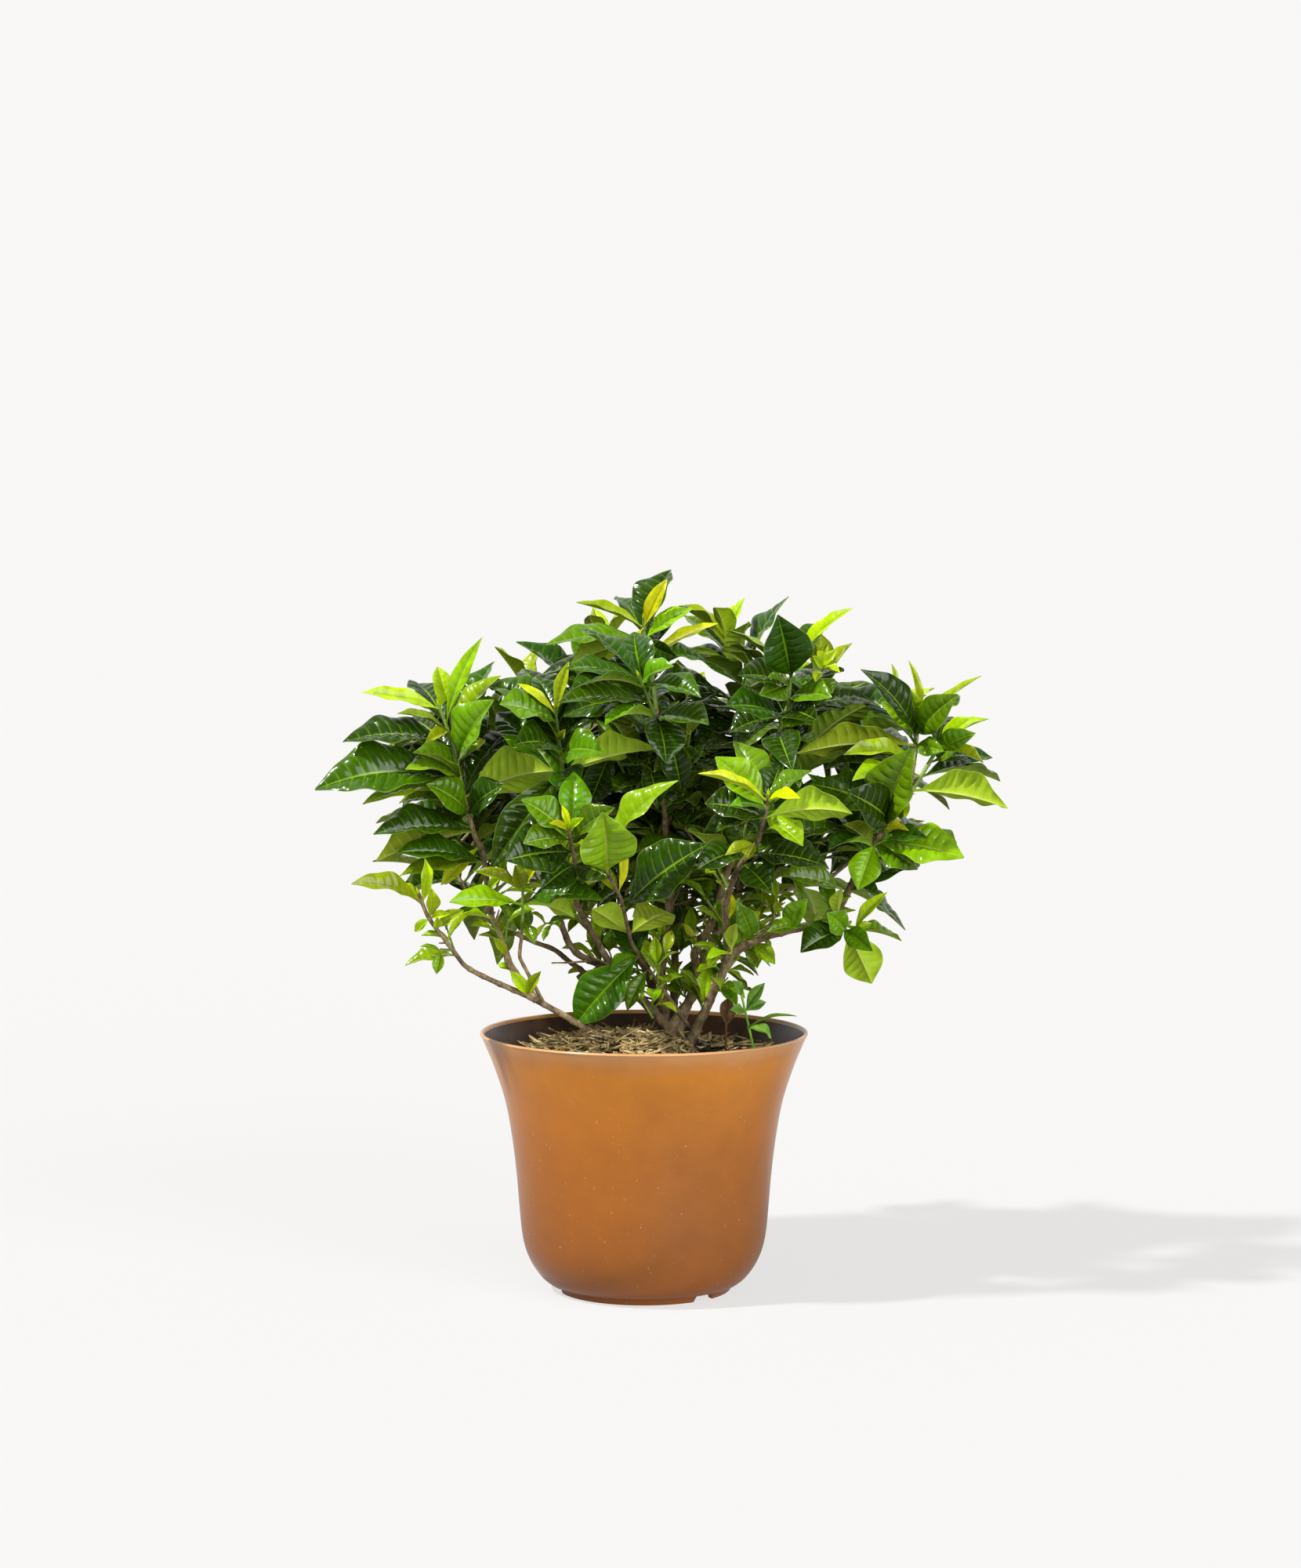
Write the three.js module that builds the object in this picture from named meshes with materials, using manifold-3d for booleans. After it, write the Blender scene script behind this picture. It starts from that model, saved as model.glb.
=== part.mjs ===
// A gardenia bush in a bell-shaped plastic nursery pot.
// Millimetres. The origin is the middle of the pot's foot, on the ground. +Z is up, and -Y faces
// the viewer.
import * as THREE from "three";
import Module from "manifold-3d";

const { Manifold, Mesh } = await Module().then((module) => {
  module.setup();
  return module;
});

// Pot
const POT_SIDES = 24;
const POT_OUTSIDE = [
  [67, 0], [67.5, 6], [76, 8], [86, 22], [92, 38], [96, 66], [99, 94], [103.5, 126], [111, 160],
  [121, 188], [126, 198],
];
const POT_LIP = [[125, 199.6]];
const POT_INSIDE = [
  [122.4, 197], [108.6, 165], [100, 126], [93.6, 72], [86, 31], [75, 12.5],
];
const POT_FLOOR_TOP = 9.4;
const FOOT_RING_INSIDE = 61.5;
const FOOT_RECESS = 5;
const FOOT_DISC_RADIUS = 20;
const NOTCH_WIDTH = 18;
const NOTCH_HEIGHT = 4.2;
const NOTCH_ANGLES = [-47, 73, 193];

// Soil and mulch
const GAP = 0.3;
const SOIL_RINGS = [0, 46, 90];
const SOIL_LEVEL = 190.5;
const SOIL_FALL = 0.00095;
const SOIL_DIP = 0.11;
const MULCH_SECTOR = [70, 300];
const MULCH_DEEP = 4.5;
const MULCH_STRANDS = 9;

// Stems: how deep a trunk stands in its hole, and where the stems are read from
const TRUNK_FOOT = 150;
const HOLE_TOP = 240;
const STEM_SIDES = 5;
const EYE = [5, -2800, 586];

// Leaves
const LEAF_THICK = 0.8;
const LONG_LEAF = 84;
const SHORT_LEAF = 34;
const RULE_SEED = 50000;
const CLEARANCE = 0.22;
const PETIOLE = 0.06;
const WHORL_TURN = 1.18;
const CELL = 2.6;
const ROOT_HALF = 1.4;
const NEAR_STEM = 5;
const WHORL_CELLS = 5;

// Each shoot is read as the eye sees it: [across, up, depth], all in mm, with across and up taken on
// the upright plane through the pot's middle and depth away from the eye. "from" is the stem that
// it grows from and the place on it, counted in points of its path. "green" is where bark gives
// way to leafy stem and "young" where the soft new growth starts. "fill" pairs of leaves grow away
// from the eye, and "rule" pairs all round.
// A leaf is [place on the stem, tip across, tip up, length, width, turn, age]. A length below
// zero comes towards the eye. Turn 0 shows the upper face to the eye, 90 turns it up to the
// sky and 180 shows the underside. Age 0 is an old dark leaf and 3 and 4 are new growth.
const SHOOTS = [
  {
    name: "low_left",
    soft: true,
    path: [[-52, 204, -40], [-52, 206, -40], [-69, 216, -46], [-92, 228, -54], [-111, 236, -60],
      [-126, 243, -64], [-138, 250, -67], [-152, 269, -72], [-162, 282, -76], [-167, 290, -78],
      [-173, 306, -82]],
    thick: [2.9, 1.4],
    green: 8.3,
    leaves: [
      [9.24, -225, 313, -62, 24, 50, 3], [9.61, -195, 311, 30, 14, 60, 3],
      [9.87, -168, 333, -32, 12, 20, 3], [9.13, -163, 310, -20, 13, 30, 3],
      [8.23, -176, 276, -15, 9, 20, 3], [7.38, -159, 288, -18, 8, 20, 3],
      [7.92, -149, 290, -16, 8, 30, 3], [7.38, -138, 293, -28, 12, 30, 3],
      [7.17, -131, 293, 34, 9, 50, 3], [6.64, -184, 250, -40, 16, 50, 2],
      [2.99, -103, 246, -24, 11, 20, 3], [2.91, -79, 246, -24, 11, 20, 3],
    ],
  },
  {
    name: "left",
    from: ["low_left", 3.59],
    path: [[-103, 250, -52], [-109, 269, -48], [-117, 287, -44], [-121, 318, -38], [-124, 342, -34],
      [-129, 347, -33], [-138, 380, -30], [-143, 405, -28], [-150, 432, -26], [-157, 451, -25]],
    thick: [2.9, 1.3],
    green: 4.4, young: 9.41,
    fill: 5,
    leaves: [
      [9.93, -216, 460, -64, 17, 40, 3], [10.00, -123, 503, 62, 12, 40, 2],
      [10.00, -158, 480, 34, 18, 30, 3], [9.43, -174, 467, 66, 36, 50, 0],
      [8.67, -231, 422, -88, 36, 58, 0], [8.89, -189, 444, -50, 14, 70, 2],
      [8.33, -114, 484, 82, 34, 50, 0], [8.45, -109, 473, 72, 24, 60, 2],
      [8.83, -168, 421, -30, 12, 30, 3], [8.20, -114, 455, -66, 34, 45, 1],
      [8.14, -128, 432, -40, 24, 20, 1], [8.05, -121, 424, -30, 12, 20, 4],
      [7.55, -183, 401, -58, 28, 65, 2], [7.74, -177, 414, -52, 26, 60, 1],
      [7.27, -253, 385, -118, 44, 50, 0], [7.15, -216, 374, -86, 24, 78, 2],
      [6.97, -188, 375, -56, 20, 50, 2], [6.66, -167, 390, -46, 26, 40, 1],
      [6.38, -208, 351, -84, 34, 55, 0], [6.12, -206, 330, -84, 36, 125, 2],
      [4.66, -190, 337, -70, 30, 60, 0], [6.89, -69, 400, -78, 40, 150, 2],
      [7.14, -66, 415, 82, 30, 60, 1], [4.76, -188, 319, -68, 24, 60, 2],
      [5.54, -156, 312, -46, 14, 20, 4], [6.70, -106, 390, -46, 26, 40, 0],
      [1.57, -116, 272, -14, 8, 20, 3], [0.76, -112, 251, -12, 7, 20, 3],
      [3.62, -109, 319, -18, 9, 30, 3],
    ],
  },
  {
    name: "left_small",
    from: ["low_left", 3.33],
    path: [[-96, 257, -68], [-94, 272, -72], [-93, 294, -76], [-93, 313, -80]],
    thick: [1.6, 1.1],
    green: 2.46, young: 3.63,
    leaves: [
      [3.31, -150, 299, -60, 22, 55, 2], [3.75, -131, 323, -42, 15, 50, 3],
      [3.84, -99, 328, -22, 14, 10, 3], [3.94, -78, 335, -30, 10, 30, 4],
      [3.06, -31, 300, -66, 30, 55, 0], [2.87, -53, 287, -44, 22, 120, 2],
      [2.46, -84, 266, -20, 10, 20, 1],
    ],
  },
  {
    name: "left_back",
    path: [[10, 204, 22], [5, 215, 22], [-12, 233, 24], [-29, 239, 26], [-45, 244, 28], [-57, 253, 30],
      [-69, 263, 32], [-81, 267, 34], [-97, 274, 38], [-120, 285, 44], [-129, 293, 48],
      [-142, 318, 55], [-151, 354, 66]],
    thick: [2.6, 1.3],
    green: 10.27,
    fill: 7,
    leaves: [
      [11.59, -175, 360, -60, 30, 50, 0], [10.76, -181, 309, -60, 28, 60, 0],
      [11.84, -127, 372, -60, 30, 40, 0],
    ],
  },
  {
    name: "centre",
    path: [[9, 204, 0], [10, 212, 2], [-19, 244, 0], [-27, 253, -2], [-33, 263, -4], [-43, 281, -14],
      [-52, 298, -40], [-52, 324, -80], [-58, 357, -110]],
    thick: [4, 1.3],
    green: 6.55, young: 7.84,
    fill: 2,
    leaves: [
      [7.91, -54, 400, 50, 22, 30, 1], [7.94, -94, 378, -46, 24, 45, 1],
      [7.76, -93, 344, -40, 24, 50, 1], [7.91, -46, 364, -18, 9, 30, 3], [7.98, -63, 374, -20, 7, 20, 4],
      [7.91, -73, 360, -18, 8, 40, 4], [7.45, -107, 331, -60, 40, 40, 0],
      [7.69, -22, 372, -46, 22, 45, 1], [7.09, -79, 309, -42, 26, 20, 0],
      [7.04, -25, 318, -46, 24, 30, 0],
    ],
  },
  {
    name: "crown_lime",
    from: ["centre", 3],
    path: [[-50, 258, -6], [-58, 267, -10], [-64, 284, -16], [-66, 318, -24], [-63, 354, -34],
      [-62, 399, -46], [-68, 449, -60]],
    thick: [2.8, 1.2],
    green: 5.13, young: 6.84,
    fill: 5,
    leaves: [
      [6.72, -111, 451, -68, 36, 40, 1], [7.00, -57, 484, 38, 12, 30, 3],
      [6.66, -121, 464, 70, 30, 60, 0], [6.57, -131, 467, 84, 28, 75, 2],
      [6.30, -100, 420, -62, 30, 65, 0], [6.84, -97, 467, 40, 9, 30, 4], [6.69, -83, 472, 55, 26, 40, 0],
      [6.42, -28, 447, 60, 30, 50, 0], [6.18, -31, 414, -50, 28, 40, 1],
      [6.12, -52, 383, -45, 26, 10, 0], [6.42, -60, 432, -14, 8, 0, 3],
      [5.96, -118, 324, -98, 30, 10, 0], [6.00, 11, 417, -78, 34, 130, 2],
    ],
  },
  {
    name: "top",
    path: [[18, 204, 12], [16, 215, 12], [13, 244, 12], [16, 272, 12], [20, 299, 10], [21, 336, 4],
      [17, 378, -4], [12, 426, -4], [6, 476, 2], [0, 504, 4], [0, 517, 4]],
    thick: [4.2, 1.4],
    green: 7.42, young: 9.25,
    fill: 4,
    leaves: [
      [9.23, 21, 554, 60, 34, 35, 0], [9.52, -52, 529, -52, 16, 65, 3], [8.95, -76, 496, -78, 26, 62, 1],
      [8.82, 38, 524, 42, 16, 40, 2], [8.73, 26, 487, -30, 18, -30, 0], [8.60, 49, 483, -50, 26, 50, 0],
      [8.23, 57, 513, 62, 15, 50, 4], [9.68, 18, 547, -42, 14, 20, 4], [8.90, -1, 476, -28, 10, -20, 4],
      [8.90, -19, 480, -32, 11, 20, 4], [8.82, -56, 482, -66, 26, 140, 2],
      [8.95, 12, 511, -20, 12, 30, 1], [8.08, 60, 487, 58, 14, 70, 2],
    ],
  },
  {
    name: "crown_left",
    from: ["top", 4.67],
    path: [[16, 366, -30], [11, 414, -50], [10, 438, -58], [-4, 473, -66]],
    thick: [2.6, 1.3],
    green: 2.5,
    fill: 4,
    leaves: [
      [3.99, -60, 478, -62, 24, 70, 0], [3.79, -56, 462, -66, 30, 62, 0],
      [3.52, -66, 452, -78, 30, 60, 0], [3.33, -63, 441, -78, 32, 60, 0],
      [3.24, -30, 435, -60, 26, 75, 1], [3.75, 44, 456, -60, 26, 60, 0], [3.24, 50, 435, -62, 30, 55, 0],
      [3.92, 23, 480, -40, 20, 50, 1], [3.09, 17, 405, -60, 30, 20, 0],
    ],
  },
  {
    name: "low_centre",
    path: [[7, 204, -26], [5, 245, -28], [-2, 255, -32], [-10, 268, -40], [-15, 291, -75],
      [-18, 303, -100], [-31, 327, -125]],
    thick: [2, 1.2],
    green: 1.11,
    fill: 2,
    leaves: [
      [5.88, -32, 369, -52, 40, 15, 2], [5.98, 27, 393, -92, 26, 50, 2], [5.12, -16, 346, -42, 9, 40, 4],
      [5.05, -38, 327, -34, 13, 20, 3], [4.09, 49, 344, -86, 40, 35, 0],
      [3.21, 19, 291, -50, 28, 150, 2], [3.34, -40, 294, -38, 22, 150, 2],
      [2.05, -54, 203, -72, 34, 15, 1], [1.08, -13, 215, -34, 14, 20, 1],
      [1.96, -26, 246, -28, 14, 50, 1],
    ],
  },
  {
    name: "crown_right",
    path: [[33, 204, 8], [31, 217, 6], [45, 236, 4], [38, 259, 2], [43, 267, 0], [51, 281, -4],
      [62, 318, -16], [80, 366, -26], [98, 414, -32], [110, 450, -36], [114, 487, -38]],
    thick: [4.2, 1.3],
    green: 8.34, young: 9.71,
    fill: 6,
    leaves: [
      [9.84, 102, 520, 46, 36, 20, 0], [9.95, 160, 525, 62, 15, 50, 3], [9.94, 115, 506, -23, 7, 20, 4],
      [9.84, 104, 484, -13, 6, 20, 4], [9.81, 126, 483, -15, 7, 30, 4], [9.56, 94, 462, -24, 14, 30, 4],
      [9.61, 62, 508, -64, 14, 70, 2], [9.55, 88, 458, -38, 22, 10, 1], [9.78, 141, 513, 46, 20, 50, 0],
      [9.08, 144, 456, -46, 24, 55, 1], [8.91, 130, 435, -36, 24, 40, 1],
      [8.84, 175, 453, -70, 28, 60, 0], [8.68, 138, 437, -48, 28, 50, 0],
      [8.91, 62, 450, -58, 30, 55, 0], [8.68, 65, 429, -58, 30, 45, 0], [8.43, 114, 399, -46, 26, 15, 0],
      [9.32, 71, 473, -58, 26, 60, 0], [4.87, 54, 299, -22, 8, 20, 3], [4.00, 30, 283, -20, 8, 30, 4],
      [2.89, 46, 244, -16, 8, 10, 3],
    ],
  },
  {
    name: "rosette",
    soft: true,
    from: ["crown_right", 8.75],
    path: [[125, 459, -46], [138, 481, -52]],
    thick: [1.5, 1.1],
    green: 0.6,
    leaves: [
      [1.96, 129, 488, -17, 9, 30, 3], [1.96, 147, 493, -17, 9, 30, 3], [1.91, 150, 475, -17, 9, 50, 3],
      [1.86, 131, 468, -17, 9, 20, 3], [1.98, 140, 498, 20, 10, 30, 3], [1.42, 144, 459, -26, 14, 40, 1],
      [1.21, 116, 473, -26, 14, 40, 1],
    ],
  },
  {
    name: "centre_right",
    path: [[36, 204, -22], [39, 199, -22], [47, 215, -22], [56, 236, -26], [62, 249, -28],
      [65, 263, -32], [63, 276, -40], [62, 298, -56], [71, 324, -84], [88, 347, -112], [94, 370, -126],
      [95, 382, -130]],
    thick: [4.5, 1.3],
    green: 8.16, young: 10.4,
    fill: 3,
    leaves: [
      [10.80, 54, 411, -54, 26, 35, 2], [10.90, 110, 423, -48, 30, 25, 0],
      [10.80, 129, 400, -42, 20, 45, 1], [10.60, 120, 379, -27, 14, 50, 4],
      [10.10, 65, 373, -31, 14, 55, 1], [9.71, 46, 375, -56, 32, 50, 0], [9.57, 55, 353, -44, 26, 50, 0],
      [9.72, 122, 342, -42, 22, 40, 2], [9.00, 62, 335, -30, 12, 30, 3], [8.92, 77, 331, -20, 11, 20, 3],
      [10.50, 68, 423, 62, 28, 60, 1], [10.45, 41, 398, -60, 14, 60, 4],
      [8.67, 140, 327, -62, 32, 55, 0], [8.62, 41, 324, -52, 26, 50, 0], [8.38, 98, 306, -42, 24, 20, 0],
      [9.84, 160, 367, -72, 30, 140, 2], [6.28, 66, 307, -28, 10, 20, 4],
    ],
  },
  {
    name: "right",
    from: ["centre_right", 4.31],
    path: [[67, 260, -31], [82, 268, -34], [96, 274, -38], [126, 281, -46], [143, 284, -52],
      [153, 300, -56], [164, 323, -60], [177, 345, -62], [197, 372, -56], [214, 399, -46],
      [228, 423, -38]],
    thick: [3.9, 1.3],
    green: 6.25, young: 10.75,
    fill: 6,
    leaves: [
      [10.89, 251, 441, -34, 16, 40, 3], [10.95, 264, 440, 46, 12, 50, 3],
      [10.83, 254, 429, -32, 18, 30, 1], [10.76, 240, 416, -20, 13, 0, 1],
      [10.64, 260, 406, -42, 14, 40, 3], [10.48, 267, 410, 52, 20, 55, 0],
      [9.92, 159, 392, -62, 24, 75, 2], [8.39, 206, 418, -68, 38, 35, 1],
      [9.45, 279, 371, -82, 36, 125, 2], [9.18, 173, 390, -60, 30, 20, 0],
      [8.56, 155, 384, -66, 32, 25, 0], [8.88, 126, 390, -80, 32, 55, 0],
      [7.94, 153, 359, -38, 22, 130, 2], [7.81, 141, 339, -48, 24, 60, 0],
      [8.06, 218, 348, -50, 20, 65, 0], [8.14, 203, 354, -28, 10, 50, 4],
      [8.11, 197, 362, -26, 10, 40, 4], [8.02, 246, 333, -78, 36, 50, 2],
      [7.79, 210, 324, -46, 32, 30, 1], [7.64, 164, 308, -40, 22, 10, 2],
      [6.19, 102, 319, -58, 24, 45, 1], [6.40, 181, 304, -36, 16, 60, 0],
      [3.33, 126, 302, -36, 16, 20, 1], [2.07, 71, 300, -38, 14, 20, 1], [3.98, 94, 276, -36, 14, 50, 1],
      [1.98, 101, 251, -28, 12, 20, 2],
    ],
  },
  {
    name: "right_top",
    from: ["right", 9.34],
    path: [[208, 414, -36], [210, 439, -30]],
    thick: [1.6, 1.2],
    green: 0.73, young: 1.7,
    fill: 3,
    leaves: [
      [1.12, 165, 478, -80, 26, 50, 0], [1.60, 181, 453, -44, 18, 40, 2],
      [1.91, 203, 463, -29, 17, 10, 2], [1.86, 241, 459, 42, 24, 35, 1], [2.00, 202, 485, 50, 10, 40, 3],
      [1.98, 258, 473, 62, 10, 50, 3], [1.36, 230, 415, -27, 14, 10, 1],
      [1.45, 116, 413, -97, 34, 125, 2], [0.91, 152, 412, -60, 22, 50, 3],
      [0.73, 138, 401, -74, 30, 60, 0],
    ],
  },
  {
    name: "right_low",
    from: ["right", 4.83],
    path: [[152, 278, -66], [164, 275, -74]],
    thick: [1.8, 1.2],
    green: 0.4, young: 1.6,
    leaves: [
      [0.91, 120, 260, -44, 26, 40, 0], [1.16, 175, 236, -52, 28, 160, 2],
      [1.89, 198, 269, -44, 18, 55, 1], [1.26, 140, 291, -30, 18, 20, 1],
      [2.00, 187, 307, -42, 12, 40, 3], [2.00, 175, 283, -15, 8, 30, 3],
      [1.69, 176, 261, -32, 16, 20, 1],
    ],
  },
  {
    name: "back_left",
    path: [[15, 204, 40], [15, 210, 40], [0, 252, 48], [-28, 306, 64], [-56, 366, 82], [-76, 414, 94],
      [-86, 456, 98]],
    thick: [4.2, 1.3],
    green: 3.5,
    rule: 6,
  },
  {
    name: "back_left_side",
    from: ["back_left", 3.4],
    path: [[-79, 366, 96], [-109, 396, 106], [-133, 438, 108]],
    thick: [2.4, 1.3],
    green: 1.4,
    rule: 5,
  },
  {
    name: "back_left_high",
    from: ["back_left", 4.15],
    path: [[-50, 402, 92], [-38, 444, 94], [-34, 488, 92]],
    thick: [2.4, 1.3],
    green: 1.2,
    rule: 5,
  },
  {
    name: "back_left_low",
    from: ["back_left", 2.89],
    path: [[-61, 312, 96], [-103, 318, 120], [-139, 339, 128]],
    thick: [2.2, 1.3],
    green: 1.4,
    rule: 4,
  },
  {
    name: "back_right",
    path: [[30, 204, 34], [30, 210, 34], [47, 258, 46], [77, 318, 64], [107, 378, 82], [125, 426, 92],
      [136, 464, 94]],
    thick: [4.2, 1.3],
    green: 3.4,
    rule: 6,
  },
  {
    name: "back_right_side",
    from: ["back_right", 3.25],
    path: [[125, 366, 94], [161, 399, 104], [187, 440, 106]],
    thick: [2.4, 1.3],
    green: 1.4,
    rule: 5,
  },
  {
    name: "back_right_high",
    from: ["back_right", 4.15],
    path: [[98, 420, 92], [78, 458, 90], [64, 496, 86]],
    thick: [2.4, 1.3],
    green: 1.2,
    rule: 5,
  },
  {
    name: "back_right_low",
    from: ["back_right", 2.6],
    path: [[101, 306, 90], [143, 318, 112], [179, 348, 120]],
    thick: [2.2, 1.3],
    green: 1.4,
    rule: 4,
  },
  {
    name: "back_middle",
    path: [[23, 204, 52], [23, 216, 54], [24, 276, 76], [27, 330, 112], [29, 390, 146], [28, 440, 160]],
    thick: [3.8, 1.3],
    green: 2.6,
    rule: 6,
  },
  {
    name: "back_middle_left",
    from: ["back_middle", 2.67],
    path: [[8, 324, 140], [-13, 348, 170], [-24, 384, 186]],
    thick: [2.2, 1.3],
    green: 1.3,
    rule: 4,
  },
  {
    name: "back_middle_right",
    from: ["back_middle", 2.89],
    path: [[50, 330, 146], [74, 354, 172], [86, 390, 186]],
    thick: [2.2, 1.3],
    green: 1.3,
    rule: 4,
  },
];

// Small growth beside the bush: [foot across, foot up, foot depth], its path and its leaves
const WEED = {
  path: [[80, 200, -66], [78, 214, -68], [74, 232, -72]],
  thick: [1.1, 0.8],
  leaves: [
    [1.5, 68, 239, -18, 8, 30, 2], [1.3, 93, 237, 22, 9, 30, 2], [1.0, 94, 222, -18, 8, 20, 2],
    [0.8, 66, 216, -18, 8, 20, 2], [0.4, 98, 193, 22, 12, 60, 2], [0.3, 118, 211, -44, 4, 60, 2],
  ],
};
const DEAD_LEAF = {
  path: [[63, 200, -50], [63, 206, -50]],
  thick: [1, 0.9],
  leaves: [[0.7, 64, 225, 27, 12, 15, 0]],
};

const COLOURS = {
  pot: "#b06a2b", soil: "#2a1c12", mulch: "#93733f", wood: "#6b5a48", leaves: "#2f5f1e",
  young: "#a9c22c", weed: "#6f9a52", dead_leaf: "#6a4a2c",
};
const ROUGH = {
  pot: 0.45, soil: 0.95, mulch: 0.9, wood: 0.8, leaves: 0.3, young: 0.35, weed: 0.5, dead_leaf: 0.9,
};

// Plain vector sums
const add = (a, b, k = 1) => [a[0] + b[0] * k, a[1] + b[1] * k, a[2] + b[2] * k];
const sub = (a, b) => [a[0] - b[0], a[1] - b[1], a[2] - b[2]];
const dot = (a, b) => a[0] * b[0] + a[1] * b[1] + a[2] * b[2];
const times = (a, k) => [a[0] * k, a[1] * k, a[2] * k];
const cross = (a, b) => [
  a[1] * b[2] - a[2] * b[1],
  a[2] * b[0] - a[0] * b[2],
  a[0] * b[1] - a[1] * b[0],
];
const size = (a) => Math.sqrt(dot(a, a));
const unit = (a) => times(a, 1 / size(a));
const radians = (degrees) => (degrees * Math.PI) / 180;

// A repeatable stream of numbers from 0 to 1.
function chance(seed) {
  let state = (seed * 7919 + 12345) >>> 0;
  return () => {
    state = (state + 0x6d2b79f5) >>> 0;
    let t = state;
    t = Math.imul(t ^ (t >>> 15), t | 1) >>> 0;
    t = (t ^ (t + Math.imul(t ^ (t >>> 7), t | 61))) >>> 0;
    return ((t ^ (t >>> 14)) >>> 0) / 4294967296;
  };
}

// The real place of a point that the eye sees at (across, up) on the pot's middle plane.
function seen([across, up, depth]) {
  const k = (depth - EYE[1]) / -EYE[1];
  return [EYE[0] + (across - EYE[0]) * k, depth, EYE[2] + (up - EYE[2]) * k];
}

function solid(points, faces) {
  const mesh = new Mesh({
    numProp: 3,
    vertProperties: new Float32Array(points.flat()),
    triVerts: new Uint32Array(faces.flat()),
  });
  return new Manifold(mesh);
}

// Stems

// A line through points, with the length along it at each point.
function lineOf(points) {
  const reach = [0];
  for (let i = 1; i < points.length; i++) {
    reach.push(reach[i - 1] + size(sub(points[i], points[i - 1])));
  }
  return { points, reach, length: reach[reach.length - 1] };
}

// Length along the line at a place counted in points.
function lengthAt(line, place) {
  const i = Math.min(Math.floor(place), line.points.length - 2);
  return line.reach[i] + (line.reach[i + 1] - line.reach[i]) * (place - i);
}

function spanAt(line, length) {
  let i = 0;
  while (i < line.points.length - 2 && line.reach[i + 1] < length) i++;
  return i;
}

function pointAt(line, length) {
  const i = spanAt(line, length);
  const k = (length - line.reach[i]) / (line.reach[i + 1] - line.reach[i]);
  return add(line.points[i], sub(line.points[i + 1], line.points[i]), k);
}

function headingAt(line, length) {
  const i = spanAt(line, length);
  return unit(sub(line.points[i + 1], line.points[i]));
}

const thickAt = (stem, length) =>
  stem.thick[0] + (stem.thick[1] - stem.thick[0]) * (length / stem.line.length);

// The level axis that a line keeps furthest from. It gives the line's rings their first corner.
function levelAxis(line) {
  let best = null;
  for (const axis of [[1, 0, 0], [0, 1, 0]]) {
    let nearest = 0;
    for (let i = 0; i + 1 < line.points.length; i++) {
      const heading = unit(sub(line.points[i + 1], line.points[i]));
      nearest = Math.max(nearest, Math.abs(dot(heading, axis)));
    }
    if (!best || nearest < best.nearest) best = { axis, nearest };
  }
  return best.axis;
}

// The two directions square to a heading that a ring's angles are counted from.
function ringFrame(axis, heading) {
  const side = unit(sub(axis, times(heading, dot(axis, heading))));
  return [side, cross(heading, side)];
}

// Rings of points around a stem at the given lengths along it.
function ringsAt(stem, stops, spare = 0) {
  const { line } = stem;
  const axis = levelAxis(line);
  const centres = stops.map((length) => pointAt(line, length));
  return stops.map((length, i) => {
    const before = i > 0 ? unit(sub(centres[i], centres[i - 1])) : null;
    const after = i < stops.length - 1 ? unit(sub(centres[i + 1], centres[i])) : null;
    const heading = unit(before && after ? add(before, after) : before || after);
    const [side, other] = ringFrame(axis, heading);
    const radius = thickAt(stem, length) + spare;
    const ring = [];
    for (let j = 0; j < STEM_SIDES; j++) {
      const angle = (2 * Math.PI * j) / STEM_SIDES;
      const out = add(times(side, Math.cos(angle)), other, Math.sin(angle));
      ring.push(add(centres[i], out, radius));
    }
    return ring;
  });
}

// The part of a stem between two lengths, with a ring at each bend.
function stemRings(stem, from, to, spare = 0) {
  const bends = stem.line.reach.filter((reach) => reach > from + 1 && reach < to - 1);
  return ringsAt(stem, [from, ...bends, to], spare);
}

// Rings joined into a closed skin with flat ends.
function skinOf(rings) {
  const sides = rings[0].length;
  const points = rings.flat();
  const faces = [];
  for (let i = 0; i + 1 < rings.length; i++) {
    for (let j = 0; j < sides; j++) {
      const k = (j + 1) % sides;
      const a = i * sides;
      const b = a + sides;
      faces.push([a + j, a + k, b + k], [a + j, b + k, b + j]);
    }
  }
  const last = points.length - sides;
  for (let j = 1; j + 1 < sides; j++) {
    faces.push([0, j + 1, j], [last, last + j, last + j + 1]);
  }
  return { points, faces };
}

// Leaves

// Half the blade's width at a part s of its length: a short petiole, then an oval drawn to a point.
function halfWidth(s) {
  if (s <= PETIOLE) return 0.05;
  const u = (s - PETIOLE) / (1 - PETIOLE);
  const oval = Math.pow(Math.sin(Math.PI * Math.pow(u, 1.1)), 0.9);
  return Math.max(0.05 * (1 - u), oval * (1 - 0.35 * Math.pow(u, 6)));
}

// A point of the blade's middle face: s along it, v from -1 to 1 across it.
function bladePoint(leaf, s, v) {
  const { root, ahead, up, across, length, wide } = leaf;
  const rise = leaf.arch * 4 * s * (1 - s);
  const centre = add(add(root, ahead, length * s), up, length * rise);
  const slope = leaf.arch * 4 * (1 - 2 * s);
  const top = unit(sub(up, times(ahead, slope)));
  const turn = leaf.twist * (s - 0.3);
  const side = add(times(across, Math.cos(turn)), top, Math.sin(turn));
  const face = add(times(top, Math.cos(turn)), across, -Math.sin(turn));
  const half = (wide / 2) * halfWidth(s);
  const wave = leaf.wave * Math.sin(9 * s + leaf.phase + (v > 0 ? 2 : 0)) * v * v;
  const lift = Math.abs(v) * Math.sin(leaf.fold) + wave;
  const spread = add(times(side, v * Math.cos(leaf.fold) * half), face, lift * half);
  return { point: add(centre, spread), face };
}

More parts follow.
